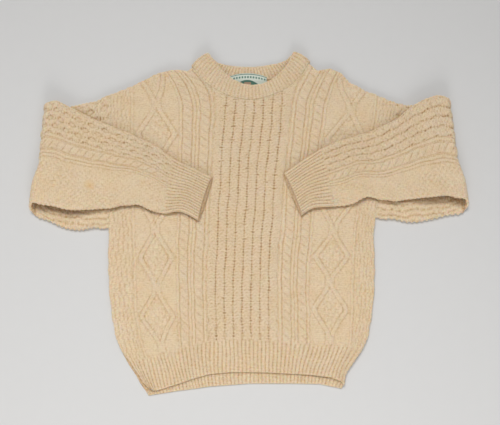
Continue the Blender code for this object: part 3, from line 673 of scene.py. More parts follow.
def make_front(finish):
    """The front: its stitch panels above and a plain face below."""
    columns = front_columns()
    count = 322
    x, along, low, high = lay_body(columns, FRONT_HEM, FRONT_NECK, count)
    by_side = ease((-248.0 - columns) / 32.0)[:, None]
    x = x + 6.0 * by_side * ease((-285.0 - along) / 30.0)
    relief, drawn = body_relief(columns[:, None] + 0 * along, along)
    share = edge_share(columns, x, along, low, high)
    from_neck = np.where(by_neck(x, along), high[:, None] - along, 9.0)
    calm = ease((share - 0.72) / 0.25) * ease((from_neck - 0.4) / 3.0)
    under = front_under(x, along)
    lift = 2.2 * np.exp(-(((x - 150.0) / 45.0) ** 2)) * (1 - ease((along - low[:, None]) / 26.0))
    lift = lift + 1.2 * (1 - ease((along - low[:, None]) / 20.0))
    sunk = creases(x, along)
    z = under + lift + WALL * share + relief * calm + soft_swells(x, along) * calm * 0.8 - 0.8 * sunk
    upper = np.stack([x, along, z], axis=-1).reshape(-1, 3)
    rim = border(len(columns), count)
    lower_z = (under + lift).ravel()
    spots, triangles, first = plain_under(x.ravel(), along.ravel(), rim)
    start = len(upper)
    lower = []
    stitches = np.stack(
        [(columns[:, None] + 0 * along) / STITCH_WIDE, along / STITCH_TALL], axis=-1
    ).reshape(-1, 2)
    for spot, old in zip(spots, first):
        on_rim = old is not None and old < len(rim)
        height = lower_z[rim[old]] if on_rim else float(front_under(spot.x, spot.y))
        lower.append((spot.x, spot.y, height))
    lower = np.array(lower)
    order = {old: start + i for i, old in enumerate(first) if old is not None and old < len(rim)}
    faces = net_faces(len(columns), count).tolist()
    for i in range(len(rim)):
        j = (i + 1) % len(rim)
        faces.append([int(rim[j]), int(rim[i]), order[i], order[j]])
    turned = [[start + i for i in reversed(triangle)] for triangle in triangles]
    faces += turned
    extra = lower[:, :2] / (STITCH_WIDE, STITCH_TALL)
    # Painted shade in the relief's hollows, under the folded forearms and in the creases; a painted
    # highlight on crests and along the edges; an even painted shade on the plain face below
    shade = shade_in_hollows(relief * calm)
    for sleeve in ((RIGHT_ARM, RIGHT_FOREARM), (LEFT_ARM, LEFT_FOREARM)):
        shade = np.maximum(shade, 0.55 * shadow_under_fold(x, along, forearm_outline(*sleeve), 3.0))
    shade = np.maximum(shade, 0.12 * np.clip(sunk, 0, 2))
    none = np.zeros(len(lower))
    crest = np.maximum(highlight_on_crests(relief * calm), 3.0 * (1 - share))
    fields = fields_of((shade, drawn * calm, crest, purled(relief)), (none + 0.4, none, none, none + 1))
    places = np.vstack([upper, lower])
    return make_piece("front_knit", places, faces, finish, np.vstack([stitches, extra]), fields)


def back_columns():
    right = [(-end, -start, steps) for start, end, steps in SIDE_STEPS[::-1]]
    return spaced(*right, (-275.4, 275.4, 222), *SIDE_STEPS)


def make_back(finish):
    """The back: a plain inside with its welt, and the same panels on the face that it lies on."""
    columns = back_columns()
    count = 200
    x, along, low, high = lay_body(columns, BACK_HEM, BACK_NECK, count)
    share = edge_share(columns, x, along, low, high)
    calm = ease((share - 0.72) / 0.25)
    wide = columns[:, None] + 0 * along
    welt = ribs(np.interp(wide, STOPS, HEM_RIBS), RIB_HEIGHT * 0.9)
    over_hem = 1 - ease((along - low[:, None] - 26.0) / 8.0)
    upper_relief = welt * over_hem * calm
    outer, drawn = body_relief(wide, along)
    # A painted shadow of the front's hem on the back's welt
    hem_line = np.interp(x, *zip(*FRONT_HEM))
    in_shade = 0.6 * np.exp(-np.clip(hem_line - along, 0, None) / 3.2)
    z = np.maximum(WALL * share + upper_relief, 1.25)
    lower_z = (1 - calm) * 0.25 * (1 - share) * WALL + calm * np.clip(1.0 - 0.5 * outer, 0, 1.0)
    lower_z = np.clip(np.minimum(lower_z, z - 1.2), 0, None)
    upper = np.stack([x, along, z], axis=-1).reshape(-1, 3)
    lower = np.stack([x, along, lower_z], axis=-1).reshape(-1, 3)
    stitches = np.stack([wide / STITCH_WIDE, along / STITCH_TALL], axis=-1).reshape(-1, 2)
    # Painted shade and painted highlights on both faces, as on the front
    shade = np.maximum(shade_in_hollows(upper_relief), in_shade)
    crest = np.maximum(highlight_on_crests(upper_relief), 3.0 * (1 - share))
    fields = fields_of(
        (shade, calm * over_hem * shade_in_valleys(welt), crest, purled(upper_relief)),
        (shade_in_hollows(outer * calm), drawn * calm, highlight_on_crests(outer * calm), purled(outer)),
    )
    faces = slab_faces(len(columns), count)
    places = np.vstack([upper, lower])
    return make_piece("back_knit", places, faces, finish, np.vstack([stitches] * 2), fields)


# The sleeves


def distances(rows):
    """How far along a sleeve each of its sections lies."""
    middle = (rows[:, :2] + rows[:, 3:5]) / 2
    return np.concatenate([[0], np.cumsum(np.hypot(*np.diff(middle, axis=0).T))])


class SleevePath:
    """A flat tube that runs out, rolls over at the elbow and comes back."""

    def __init__(self, arm, forearm):
        arm, forearm = np.array(arm, float), np.array(forearm, float)
        arm_z = np.full((len(arm), 1), ARM_Z)
        fore_z = REST_Z + forearm[:, 4:6]
        self.out = np.hstack([arm[:, :2], arm_z, arm[:, 2:4], arm_z])
        self.back = np.hstack([forearm[:, :2], fore_z[:, :1], forearm[:, 2:4], fore_z[:, 1:]])
        self.out_keys = distances(self.out)
        self.roll_start = self.out_keys[-1]
        self.roll_end = self.roll_start + math.pi * ROLL_RADIUS
        self.back_keys = self.roll_end + distances(self.back)
        self.length = self.back_keys[-1]
        self.outward = np.array((math.copysign(1, arm[-1][0]), 0.0, 0.0))

    def section(self, along):
        """Upper edge, lower edge and the way through the wall, for many places along."""
        along = np.asarray(along, float)
        flat_out = through(self.out_keys, self.out, along)
        flat_back = through(self.back_keys, self.back, along)
        share = np.clip((along - self.roll_start) / (self.roll_end - self.roll_start), 0, 1)
        angle = np.pi * share[:, None]
        row = self.out[-1] * (1 - share[:, None]) + self.back[0] * share[:, None]
        rolled = row.copy()
        height = ARM_Z + ROLL_RADIUS * (1 - np.cos(angle[:, 0]))
        rolled[:, 2] = rolled[:, 5] = height
        push = self.outward * ROLL_RADIUS * np.sin(angle)
        rolled[:, :3] += push
        rolled[:, 3:] += push
        on_arm = (along <= self.roll_start)[:, None]
        on_forearm = (along >= self.roll_end)[:, None]
        rows = np.where(on_arm, flat_out, np.where(on_forearm, flat_back, rolled))
        way = np.array((0.0, 0.0, 1.0)) * np.cos(angle) - self.outward * np.sin(angle)
        return rows[:, :3], rows[:, 3:], way


def forearm_outline(arm, forearm):
    """The outline in plan of the part of a sleeve that is folded over."""
    path = SleevePath(arm, forearm)
    upper, lower, _ = path.section(np.linspace(path.roll_end, path.length, 60))
    return np.vstack([upper[:, :2], lower[::-1, :2]])


def shadow_under_fold(x, y, outline, reach):
    """Strength of a painted shadow: one inside an outline, and dying away outside it over about the
    reach.
    """
    nearest = np.full(np.shape(x), 1e9)
    inside = np.zeros(np.shape(x), bool)
    for (ax, ay), (bx, by) in zip(outline, np.roll(outline, -1, axis=0)):
        dx, dy = bx - ax, by - ay
        share = np.clip(((x - ax) * dx + (y - ay) * dy) / (dx * dx + dy * dy + 1e-9), 0, 1)
        nearest = np.minimum(nearest, np.hypot(x - ax - share * dx, y - ay - share * dy))
        if abs(dy) > 1e-9:
            inside ^= ((ay > y) != (by > y)) & (x < ax + (y - ay) * dx / dy)
    return np.where(inside, 1.0, np.exp(-((nearest / reach) ** 1.5)))


def drawn_in(path, run, share):
    """How a sleeve is drawn in near its elbow, all but its lowest part."""
    middle = (path.roll_start + path.roll_end) / 2
    by_elbow = np.exp(-(((run - middle) / 60.0) ** 2)) * (1 - ease((share - 0.55) / 0.27))
    return -ELBOW_TAKEN_IN * by_elbow[..., None] * path.outward


def round_the_tube(width):
    """Distances from the upper edge, out along one side of the tube and home along the other."""
    steps = np.array((0.0, 0.35, 1.1, 2.2, 3.5, 5.0))
    inner = np.linspace(0, 1, TUBE_STEPS)[1:-1]
    middle = 5.0 + (width[:, None] - 10.0) * inner
    start = np.repeat(steps[None], len(width), axis=0)
    end = width[:, None] - steps[::-1]
    side = np.hstack([start, middle, end])
    return np.hstack([side, side[:, -2:0:-1]]), side.shape[1]


def sleeve_relief(across, along, stitches, slant):
    """Height of a sleeve's panels and lines of painted shade beside their ribs, in clefts and eyes, at
    places as if it were one width all along.
    """
    start, strands, cell, first, centre, second, third, hand = stitches
    across = across + 0.8 * np.sin(along / 21.0) + 0.5 * np.sin(along / 8.3 + across / 14.0)
    comb, drawn = small_eyes(across - start, along, strands, cell, slant)
    in_comb = (across > start) & (across < start + strands * cell)
    height, drawn = np.where(in_comb, comb, 0), np.where(in_comb, drawn, 0)
    for column in (first, second, third):
        height = np.maximum(height, twist_rib(across - column, along))
        # Painted shade beside each twist rib
        beside = np.abs(np.abs(across - column) - 3.3)
        drawn = np.maximum(drawn, 0.5 * np.exp(-((beside / 1.1) ** 2)))
    turns, clefts = rope(across - centre, along, hand)
    on_rope = np.abs(across - centre) < ROPE_WIDTH / 2
    height = np.where(on_rope, turns, height)
    drawn = np.where(on_rope, 1.2 * clefts, drawn)
    seam_side = across > third + 6.0
    sway = across + 1.6 * np.sin(along / 23.0) + 1.1 * np.sin(along / 9.0 + across / 17.0)
    drift = along + 2.2 * np.sin(across / 15.0 + 0.6) + 1.5 * np.sin(along / 31.0 + across / 11.0)
    column = np.round(sway / 6.2)
    broken = ease(0.62 + 1.1 * np.cos(2 * np.pi * (drift / 12.5 + column / 2)))
    lumps = 0.7 + 0.3 * np.sin(along / 13.0 + across / 7.0)
    lumps = lumps + 0.3 * np.sin(across / 19.0 - along / 37.0)
    moss = 0.75 * MOSS_HEIGHT * dome(sway - 6.2 * column, 2.9) * broken * lumps
    return np.where(seam_side, moss, height), drawn


def open_mouth(share, from_end, side, along_way):
    """How a cuff's end gapes: its upper wall draws back and lifts, and its lower wall runs on."""
    middle = np.sin(np.pi * np.clip(share, 0, 1)) ** 0.5
    slide = np.exp(-from_end / 7.0) * middle * np.where(side < 0, -4.0, 1.5)
    lift = 1.5 * np.exp(-from_end / 10.0) * middle * (side < 0)
    return slide[..., None] * along_way + lift[..., None] * np.array((0.0, 0.0, 1.0))


def make_sleeve(name, arm, forearm, stitches, slant, finish):
    """A tapering knitted tube, folded over at the elbow, open at the armhole and the cuff."""
    path = SleevePath(arm, forearm)
    stations = spaced(
        (0.0, 3.0, 3), (3.0, path.roll_start, 70), (path.roll_start, path.roll_end, 16),
        (path.roll_end, path.length - 4.0, 205), (path.length - 4.0, path.length - 1.4, 3),
        (path.length - 1.4, path.length, 3),
    )
    upper, lower, way = path.section(stations)
    width = np.hypot(*(lower - upper)[:, :2].T)
    across, side_count = round_the_tube(width)
    round_count = across.shape[1]
    side = np.where(np.arange(round_count) < side_count, -1.0, 1.0)
    half = SLEEVE_THICK / 2
    inward = np.minimum(across, width[:, None] - across)
    depth = np.sqrt(1 - (1 - np.clip(inward / 4.5, 0, 1)) ** 2)
    from_end = (path.length - stations)[:, None]
    mouth = at_edge(from_end, 2.6, 0.72)
    reference = np.interp(path.back_keys[3], stations, width)
    placed = across * reference / width[:, None]
    relief, drawn = sleeve_relief(placed, stations[:, None] + 0 * across, stitches, slant)
    cuff = path.back_keys[CUFF_SECTION]
    into_cuff = ease((stations[:, None] - cuff + 6.0) / 7.0)
    welt = ribs(CUFF_RIBS * (across - 7.0) / (width[:, None] - 14.0), RIB_HEIGHT)
    relief = (1 - into_cuff) * relief + into_cuff * welt
    drawn = (1 - into_cuff) * drawn + into_cuff * shade_in_valleys(welt)
    calm = ease((inward - 0.5) / 3.0) * ease(from_end / 3.0)
    run = stations[:, None]
    to_low = width[:, None] - across
    by_low = 1 - ease(to_low / 55.0)
    folded_out = ease((path.roll_start - 6.0 - run) / 10.0) * (1 - ease((to_low - 32.0) / 12.0))
    ridges = np.sin(2 * np.pi * to_low / 13.0 + 1.2 * np.sin(run / 17.0) + 0.7 * np.sin(run / 6.1))
    relief = relief + 0.7 * folded_out * ridges
    pucker = np.sin(run / 6.3 + 1.4 * np.sin(run / 17.0) + across / 23.0) * by_low
    uneven = 0.6 * np.sin(run / 9.0 + across / 13.0) * np.sin(across / 21.0 + 1.0) + 0.7 * pucker
    rise = half * depth * mouth + calm * (relief + uneven * (1 - into_cuff))
    rough = 0.9 * np.sin(2 * np.pi * run / 8.9) + 1.3 * np.sin(run / 9.7 + 1.6 * np.sin(run / 29.0))
    at_rim = np.exp(-to_low / 9.0) - 0.7 * np.exp(-across / 9.0)
    on_arm = np.where(run < path.roll_start, 1.8, 0.8)
    uneven_edge = on_arm * rough * at_rim * (1 - 0.7 * into_cuff) * ease(run / 25.0)
    share = (across + uneven_edge) / width[:, None]
    places = upper[:, None] + (lower - upper)[:, None] * share[..., None]
    places = places + way[:, None] * (side * rise)[..., None]
    places = places + drawn_in(path, run, across / width[:, None])
    past = run - path.roll_end
    tunnel = ease((past + 14.0) / 24.0) * (1 - ease((past - 60.0) / 90.0))
    waves = tunnel * (8.5 + 1.5 * np.sin(run / 11.0))
    waves = waves + 1.3 * ease(past / 30.0) * np.sin(run / 13.0 + 0.8)
    waves = waves * (1 - ease(to_low / 38.0)) * ease(past / 12.0 + 1.0) * (1 - into_cuff)
    places[..., 2] += waves
    on_top = np.where(side < 0, 1.0, 0.0)
    settled = ease(past / 30.0)
    places[..., 2] -= 1.7 * np.exp(-across / 6.0) * settled * on_top
    along_way = np.gradient((upper + lower) / 2, axis=0)[-1]
    along_way = along_way * (1, 1, 0) / np.hypot(*along_way[:2])
    places = places + open_mouth(across / width[:, None], from_end, side, along_way)
    places[..., 2] = np.maximum(places[..., 2], 0.15)
    outer = places.reshape(-1, 3)
    places_x, places_y = places[..., 0], places[..., 1]
    lining_at = np.linspace(path.length, 0.0, 26)
    upper_in, lower_in, way_in = path.section(lining_at)
    width_in = np.hypot(*(lower_in - upper_in)[:, :2].T)
    across_in, _ = round_the_tube(width_in)
    place_in = SLEEVE_WALL + (width_in[:, None] - 2 * SLEEVE_WALL) * across_in / width_in[:, None]
    share_in = place_in / width_in[:, None]
    inward_in = np.minimum(across_in, width_in[:, None] - across_in)
    open_in = (half - SLEEVE_WALL) * np.sqrt(1 - (1 - np.clip(inward_in / 3.0, 0, 1)) ** 2)
    inner = upper_in[:, None] + (lower_in - upper_in)[:, None] * share_in[..., None]
    inner = inner + way_in[:, None] * (side * open_in)[..., None]
    inner = inner + drawn_in(path, lining_at[:, None], across_in / width_in[:, None])
    to_end = (path.length - lining_at)[:, None]
    inner = inner + open_mouth(across_in / width_in[:, None], to_end, side, along_way)
    places = np.vstack([outer, inner.reshape(-1, 3)])
    faces = tube_faces(len(stations) + len(lining_at), round_count)
    lining_map = np.stack([across_in, lining_at[:, None] + 0 * across_in], axis=-1)
    outer_map = np.stack([placed, stations[:, None] + 0 * across], axis=-1)
    stitch_map = np.vstack([outer_map.reshape(-1, 2), lining_map.reshape(-1, 2)])
    stitch_map = stitch_map / (STITCH_WIDE, STITCH_TALL)
    # Painted shade in the relief's hollows, on the arm under the folded forearm and at the cuff's rim; a
    # painted highlight on crests and along the edges; an even painted shade inside the tube
    shade = 1.2 * shade_in_hollows(relief * calm)
    outline = forearm_outline(arm, forearm)
    reach = 3.0 + 8.0 * ease((np.abs(places_x) - 340.0) / 70.0)
    fold_shadow = np.where(run < path.roll_start, shadow_under_fold(places_x, places_y, outline, reach), 1.0)
    rim_shade = 0.95 * np.exp(-from_end / 6.0) * (1 - on_top)
    rim_shade = rim_shade + 0.45 * np.exp(-from_end / 1.6) * on_top
    shade = np.maximum(shade, np.maximum(0.7 * fold_shadow * (1 - on_top), rim_shade))
    none = np.zeros(across_in.size)
    crest = np.maximum(highlight_on_crests(relief * calm), 1.8 * np.exp(-inward / 2.5))
    fields = fields_of((shade, drawn * calm, crest, purled(relief)), (none + 0.55, none, none, none + 1))
    return make_piece(name, places, faces, finish, stitch_map, fields)


# The neckband and the label


def along_line(corners, share):
    """Places at shares of the way along a smooth line through the corners."""
    corners = np.array(corners, float)
    reach = np.concatenate([[0], np.cumsum(np.hypot(*np.diff(corners, axis=0).T))])
    at = np.asarray(share) * reach[-1]
    return np.stack([np.interp(at, reach, corners[:, axis]) for axis in (0, 1)], axis=-1)


def outward_at(end):
    edge = np.array(FRONT_FREE[end], float) - FRONT_NECK[end]
    edge = edge / np.hypot(*edge)
    return np.array((-edge[1], edge[0])) if end == 0 else np.array((edge[1], -edge[0]))


def band_rulings():
    """Lines across the neckband: seam, bow, free edge, height, way outwards and place in its rib."""
    rows = []
    top = BAND_FRONT_Z + BAND_CORNER_LIFT

    def arc(neck, free, count, heights, up, backwards):
        shares = np.linspace(0, 1, 8 * count + 1)
        for share in shares:
            f = 1 - share if backwards else share
            bow = outward_at(0 if f < 0.5 else -1) * BAND_CORNER_BOW * abs(2 * f - 1) ** 10
            way = np.array((0.0, 0.0, up))
            rows.append((along_line(neck, f), bow, along_line(free, f), heights(f), way, share * count))

    def corner(end, falling):
        outward = outward_at(end)
        radius, middle = (top - BAND_BACK_Z) / 2, (top + BAND_BACK_Z) / 2
        for step in range(1, 24):
            angle = math.pi * (step if falling else 24 - step) / 24
            push = outward * radius * 0.65 * math.sin(angle)
            way = np.array((*(outward * math.sin(angle)), math.cos(angle)))
            seam = np.array(FRONT_NECK[end], float) + push
            free = np.array(FRONT_FREE[end], float) + push
            bow = outward * BAND_CORNER_BOW
            rows.append((seam, bow, free, middle + radius * math.cos(angle), way, step / 8))

    arc(FRONT_NECK, FRONT_FREE, BAND_FRONT_RIBS,
        lambda f: BAND_FRONT_Z + BAND_CORNER_LIFT * (2 * f - 1) ** 2, 1.0, False)
    corner(-1, True)
    arc(BACK_NECK, BACK_FREE, BAND_BACK_RIBS, lambda f: BAND_BACK_Z, -1.0, True)
    corner(0, False)
    return rows


def make_neckband(finish):
    """A ribbed ring round the neck, with a rounded free edge and both of its faces knitted."""
    steps = ((0, 0.6, 1.6), np.linspace(3.2, 31.0, 12), (32.2, 33.2, 34.0, 34.6, 34.9))
    across = np.concatenate(steps) / 34.9
    places, stitches, shade, rib_highlight = [], [], [], []
    for seam, bow, free, height, way, rib in band_rulings():
        reach = np.hypot(*(free - seam))
        seam = seam - (free - seam) / reach * SEAM_OVERLAP
        wave = 0.5 - 0.5 * math.cos(2 * math.pi * rib)
        ring = []
        for face in (1.0, -1.0):
            shares = across if face > 0 else across[-2::-1]
            crest = wave if face > 0 else 1 - wave
            for share in shares:
                flat = seam + (free - seam) * share + bow * 4 * share * (1 - share)
                from_free = (1 - share) * reach
                rounding = math.sqrt(max(0.0, 1 - (1 - min(from_free / 2.6, 1.0)) ** 2))
                body = BAND_THICK / 2 * rounding
                sink = (height - 6.5) * max(0.0, way[2]) * (1 - float(ease(share * reach / 12.0)))
                calm = float(ease(from_free / 5.0) * ease(share * reach / 3.0))
                swell = 0.35 * math.sin(math.pi * share)
                lift = body + calm * (BAND_RIB_HEIGHT * 0.9 * (crest - 0.35) + swell)
                place = np.append(flat, height - sink) + way * face * lift
                place[2] = max(place[2], 0.0)
                ring.append(place)
                stitches.append((rib * 2.0, share * reach / STITCH_TALL))
                # Painted shade in the rib hollows, stronger on the back arc, and along the seam; a
                # painted highlight on the rib crests
                tint = 0.55 if height < BAND_FRONT_Z - 1.0 else 0.4
                shade.append((1 - crest) ** 2 * tint * calm + 0.7 * max(0.0, 1 - share * reach / 1.8))
                rib_highlight.append(crest * 0.5 * calm)
        places.append(ring)
    faces = tube_faces(len(places), len(places[0]))
    purl = np.clip(np.array(shade) * 1.5, 0, 1)
    fields = {"painted_shade": shade, "dots": 0 * purl, "crest": rib_highlight, "purl": purl}
    return make_piece("neckband_knit", np.array(places).reshape(-1, 3), faces, finish, stitches, fields)


def make_label(finish):
    """A woven label that lies from under the neckband down on the inside of the back."""
    columns, rows = 44, 30
    places, stitches = [], []
    for face in (1.0, 0.0):
        for row in range(rows + 1):
            for column in range(columns + 1):
                across = 2 * column / columns - 1
                down = row / rows
                y = LABEL_TOP - LABEL_LENGTH * down - LABEL_ARCH * across**2 * (1 - down)
                step = float(ease((y - 291.0) / 9.0))
                wave = 0.25 * math.sin(across * 5.0 + 0.6) * (1 - 0.5 * down)
                z = WALL + GAP + 1.75 * step + (LABEL_THICK + max(0.0, wave)) * face
                places.append((LABEL_MIDDLE + LABEL_HALF * across, y, z))
                stitches.append((across, 1 - down))
    faces = slab_faces(rows + 1, columns + 1)
    return make_piece("neck_label", places, faces, finish, stitches, {})


# Finishes


class Recipe:
    """A material's nodes, added one by one."""

    def __init__(self, name):
        self.material = bpy.data.materials.new(name)
        self.material.use_nodes = True
        self.tree = self.material.node_tree
        self.shader = self.tree.nodes["Principled BSDF"]

    def put(self, socket, value):
        if isinstance(value, bpy.types.NodeSocket):
            self.tree.links.new(value, socket)
        elif value is not None:
            socket.default_value = value

    def node(self, kind, inputs, **settings):
        made = self.tree.nodes.new(kind)
        for key, value in settings.items():
            setattr(made, key, value)
        for key, value in inputs.items():
            self.put(made.inputs[key], value)
        return made

    def sum(self, operation, first, second=None):
        inputs = {i: v for i, v in enumerate((first, second)) if v is not None}
        return self.node("ShaderNodeMath", inputs, operation=operation).outputs[0]

    def plus(self, first, second):
        return self.sum("ADD", first, second)

    def times(self, first, second):
        return self.sum("MULTIPLY", first, second)

    def noise(self, where, scale, detail=2.0, roughness=0.5):
        inputs = {"Vector": where, "Scale": scale, "Detail": detail, "Roughness": roughness}
        return self.node("ShaderNodeTexNoise", inputs).outputs["Fac"]

    def between(self, value, low, high, out_low=0.0, out_high=1.0):
        inputs = {"Value": value, "From Min": low, "From Max": high}
        inputs.update({"To Min": out_low, "To Max": out_high})
        return self.node("ShaderNodeMapRange", inputs).outputs["Result"]

    def mix(self, share, first, second):
        """Two colours mixed; the node's sockets 6 and 7 take them, and output 2 gives the colour."""
        made = self.node("ShaderNodeMix", {}, data_type="RGBA")
        for socket, value in ((0, share), (6, first), (7, second)):
            self.put(made.inputs[socket], value)
        return made.outputs[2]

    def bump(self, height, strength, distance, below=None):
        inputs = {"Height": height, "Strength": strength, "Distance": distance}
        if below is not None:
            inputs["Normal"] = below
        return self.node("ShaderNodeBump", inputs).outputs["Normal"]

    def field(self, name):
        return self.node("ShaderNodeAttribute", {}, attribute_name=name).outputs["Fac"]


def knitted_wool():
    """Undyed cream wool, with a V for each knit stitch and a ripple for each purl row, and with painted
    shade and painted highlights read from its fields.
    """
    wool = Recipe("cream_wool_knit")
    here = wool.node("ShaderNodeTexCoord", {}).outputs["Object"]
    stitch = wool.node("ShaderNodeUVMap", {}, uv_map="stitches").outputs[0]
    split = wool.node("ShaderNodeSeparateXYZ", {0: stitch})
    slack = wool.noise(here, 48.0, 1.0)
    u = wool.plus(split.outputs[0], wool.between(slack, 0.3, 0.7, -0.3, 0.3))
    v = wool.plus(split.outputs[1], wool.between(slack, 0.3, 0.7, 0.45, -0.45))
    from_middle = wool.sum("ABSOLUTE", wool.sum("SUBTRACT", wool.sum("FRACT", u), 0.5))
    leg = wool.sum("FRACT", wool.plus(v, wool.times(from_middle, -1.1)))
    loop = wool.sum("SINE", wool.times(leg, math.pi))
    seam = wool.sum("SINE", wool.times(from_middle, 2 * math.pi))
    knit = wool.times(loop, wool.plus(wool.times(seam, 0.6), 0.4))
    row = wool.sum("SINE", wool.times(wool.sum("FRACT", v), math.pi))
    painted_shade, crest, purl = wool.field("painted_shade"), wool.field("crest"), wool.field("purl")
    stitched = wool.plus(wool.times(knit, wool.sum("SUBTRACT", 1.0, purl)),
                        wool.times(wool.times(row, 0.4), purl))
    fibre = wool.noise(here, 1100.0, 4.0, 0.7)
    lump = wool.noise(here, 330.0, 2.0, 0.6)
    speck = wool.noise(here, 290.0, 1.0, 0.4)
    knots = wool.noise(here, 165.0, 1.0, 0.5)
    patch = wool.noise(here, 20.0, 3.0, 0.55)
    tone = wool.noise(here, 75.0, 2.0, 0.5)
    cream = wool.mix(wool.between(patch, 0.35, 0.65), (0.785, 0.626, 0.426, 1), (0.80, 0.661, 0.484, 1))
    cream = wool.mix(wool.between(tone, 0.45, 0.7, 0.0, 0.4), cream, (0.755, 0.572, 0.365, 1))
    # A painted highlight on crests and edges
    cream = wool.mix(wool.between(crest, 0.1, 2.0, 0.0, 0.8), cream, (0.84, 0.695, 0.50, 1))
    # Painted shade: the fields' lines dotted along the rows and their hollows broken up, mixed towards
    # deep browns
    beads = wool.between(wool.sum("SINE", wool.times(v, 4.5)), -1.0, 1.0, 1.4, 0.15)
    broken = wool.times(beads, wool.between(knots, 0.38, 0.62, 0.6, 1.5))
    uneven = wool.times(painted_shade, wool.between(speck, 0.38, 0.6, 0.7, 1.2))
    shade = wool.sum("MAXIMUM", wool.times(wool.field("dots"), broken), uneven)
    deep = wool.mix(wool.between(shade, 0.4, 1.0), (0.48, 0.26, 0.085, 1), (0.31, 0.14, 0.035, 1))
    colour = wool.mix(wool.between(shade, 0.06, 0.95, 0.0, 0.92), cream, deep)
    spot = wool.node("ShaderNodeVectorMath", {0: here, 1: STAIN}, operation="DISTANCE")
    ragged = wool.plus(spot.outputs["Value"], wool.between(tone, 0.3, 0.7, -0.004, 0.004))
    # Overlays: painted shade between the stitches' legs, small dark specks painted as shade in pits,
    # lighter lumps at random, and a rusty stain
    for value, low, high, at_low, at_high, tint in (
        (stitched, 0.0, 0.7, 0.32, 0.0, (0.48, 0.29, 0.13, 1)),
        (speck, 0.5, 0.68, 0.0, 0.34, (0.50, 0.32, 0.15, 1)),
        (lump, 0.45, 0.7, 0.0, 0.3, (0.88, 0.755, 0.575, 1)),
        (ragged, 0.001, 0.014, 0.5, 0.0, (0.72, 0.43, 0.13, 1)),
    ):
        colour = wool.mix(wool.between(value, low, high, at_low, at_high), colour, tint)
    wool.put(wool.shader.inputs["Base Color"], colour)
    wool.put(wool.shader.inputs["Roughness"], wool.between(fibre, 0.3, 0.7, 0.86, 0.98))
    first = wool.bump(stitched, 0.6, 0.0013)
    second = wool.bump(speck, 0.55, 0.0016, first)
    third = wool.bump(lump, 0.4, 0.001, second)
    wool.put(wool.shader.inputs["Normal"], wool.bump(fibre, 0.3, 0.0003, third))
    for socket, value in (
        ("Sheen Weight", 0.1), ("Sheen Roughness", 0.6), ("Specular IOR Level", 0.2),
        ("Subsurface Weight", 0.5), ("Subsurface Radius", (1.0, 0.55, 0.25)), ("Subsurface Scale", 0.006),
    ):
        wool.shader.inputs[socket].default_value = value
    return wool.material


def woven_label():
    """A pale woven label with an arched green stripe, a row of dots and a plain patch."""
    cloth = Recipe("woven_label")
    place = cloth.node("ShaderNodeUVMap", {}, uv_map="stitches").outputs[0]
    split = cloth.node("ShaderNodeSeparateXYZ", {0: place})
    u, v = split.outputs[0], split.outputs[1]
    ground, green, tan = (0.66, 0.71, 0.62, 1), (0.045, 0.15, 0.105, 1), (0.40, 0.25, 0.16, 1)

    def within(value, middle, reach):
        return cloth.sum("LESS_THAN", cloth.sum("ABSOLUTE", cloth.sum("SUBTRACT", value, middle)), reach)

    beat = cloth.sum("SINE", cloth.times(u, 44.0))
    dots = cloth.times(cloth.sum("GREATER_THAN", beat, -0.1), within(v, 0.80, 0.05))
    drop = cloth.plus(v, cloth.times(cloth.times(u, u), 0.55))
    segment = cloth.sum("LESS_THAN", drop, 0.66)
    marks = cloth.sum("MAXIMUM", within(v, 0.945, 0.018), cloth.sum("MAXIMUM", segment, dots))
    colour = cloth.mix(marks, ground, green)
    patch = cloth.times(within(u, 0.02, 0.17), within(v, 0.50, 0.06))
    colour = cloth.mix(patch, colour, tan)
    threads = cloth.times(cloth.sum("SINE", cloth.times(u, 520.0)),
                        cloth.sum("SINE", cloth.times(v, 280.0)))
    colour = cloth.mix(cloth.between(threads, -1.0, 1.0, 0.18, 0.0), colour, (0.2, 0.25, 0.2, 1))
    cloth.put(cloth.shader.inputs["Base Color"], colour)
    cloth.put(cloth.shader.inputs["Normal"], cloth.bump(threads, 0.4, 0.0002))
    cloth.put(cloth.shader.inputs["Roughness"], cloth.between(threads, -1.0, 1.0, 0.72, 0.6))
    return cloth.material


def pale_surface():
    table = Recipe("pale_surface")
    here = table.node("ShaderNodeTexCoord", {}).outputs["Object"]
    speck = table.noise(here, 40.0, 3.0)
    grey = table.mix(speck, (0.64, 0.636, 0.63, 1), (0.655, 0.651, 0.645, 1))
    table.put(table.shader.inputs["Base Color"], grey)
    table.shader.inputs["Roughness"].default_value = 0.85
    return table.material


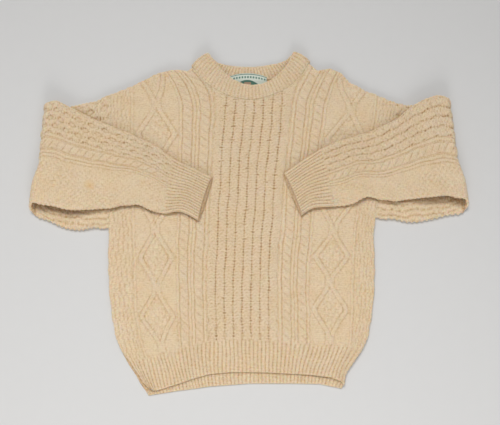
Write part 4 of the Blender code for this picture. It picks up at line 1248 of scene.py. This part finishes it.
def main():
    bpy.ops.object.select_all(action="DESELECT")
    wool, woven = knitted_wool(), woven_label()
    front, back = make_front(wool), make_back(wool)
    right = make_sleeve("sleeve_right_knit", RIGHT_ARM, RIGHT_FOREARM, RIGHT_STITCHES, 0.0, wool)
    left = make_sleeve("sleeve_left_knit", LEFT_ARM, LEFT_FOREARM, LEFT_STITCHES, 0.24, wool)
    band, label = make_neckband(wool), make_label(woven)
    for piece, node in (
        (front, "front"), (back, "back"), (right, "sleeve_right"), (left, "sleeve_left"),
        (band, "neckband"),
    ):
        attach(piece, "root")
        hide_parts(node)
    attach(label, "root")
    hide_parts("label")

    bpy.ops.mesh.primitive_plane_add(size=8.0, location=(0, 0, -0.0004))
    floor = bpy.context.object
    floor.name = "floor"
    bpy.ops.object.transform_apply(location=True)
    floor.data.materials.append(pale_surface())

    centre = Vector((SHIFT[0] * MM, SHIFT[1] * MM, 0.008))
    tilt = math.radians(CAMERA_TILT)
    spot = centre + CAMERA_AWAY * Vector((0, -math.sin(tilt), math.cos(tilt)))
    bpy.ops.object.camera_add(location=spot, rotation=(tilt, 0, 0))
    camera = bpy.context.object
    camera.data.lens = 50.0
    camera.data.sensor_width = 36.0
    bpy.context.scene.camera = camera

    lamps = (
        # kind, place, aim, size, energy
        ("SPOT", (-0.6, 2.4, 4.4), (-0.16, -1.25, 0.0), 1.2, 750.0),
        ("AREA", (0.1, -2.6, 1.2), (0.0, 0.0, 0.0), 1.3, 30.0),
    )
    for kind, spot, aim, size, energy in lamps:
        bpy.ops.object.light_add(type=kind, location=spot)
        lamp = bpy.context.object
        if kind == "SPOT":
            lamp.data.spot_size = math.radians(60.0)
            lamp.data.spot_blend = 1.0
            lamp.data.shadow_soft_size = size
        else:
            lamp.data.shape = "DISK"
            lamp.data.size = size
        lamp.data.energy = energy
        lamp.data.color = (1.0, 0.995, 0.985)
        lamp.rotation_euler = (Vector(aim) - Vector(spot)).to_track_quat("-Z", "Y").to_euler()
    scene = bpy.context.scene
    scene.world = scene.world or bpy.data.worlds.new("studio")
    scene.world.use_nodes = True
    sky = scene.world.node_tree.nodes["Background"].inputs
    sky["Color"].default_value = (1, 1, 1, 1)
    sky["Strength"].default_value = 0.38
    scene.view_settings.view_transform = "Standard"


main()
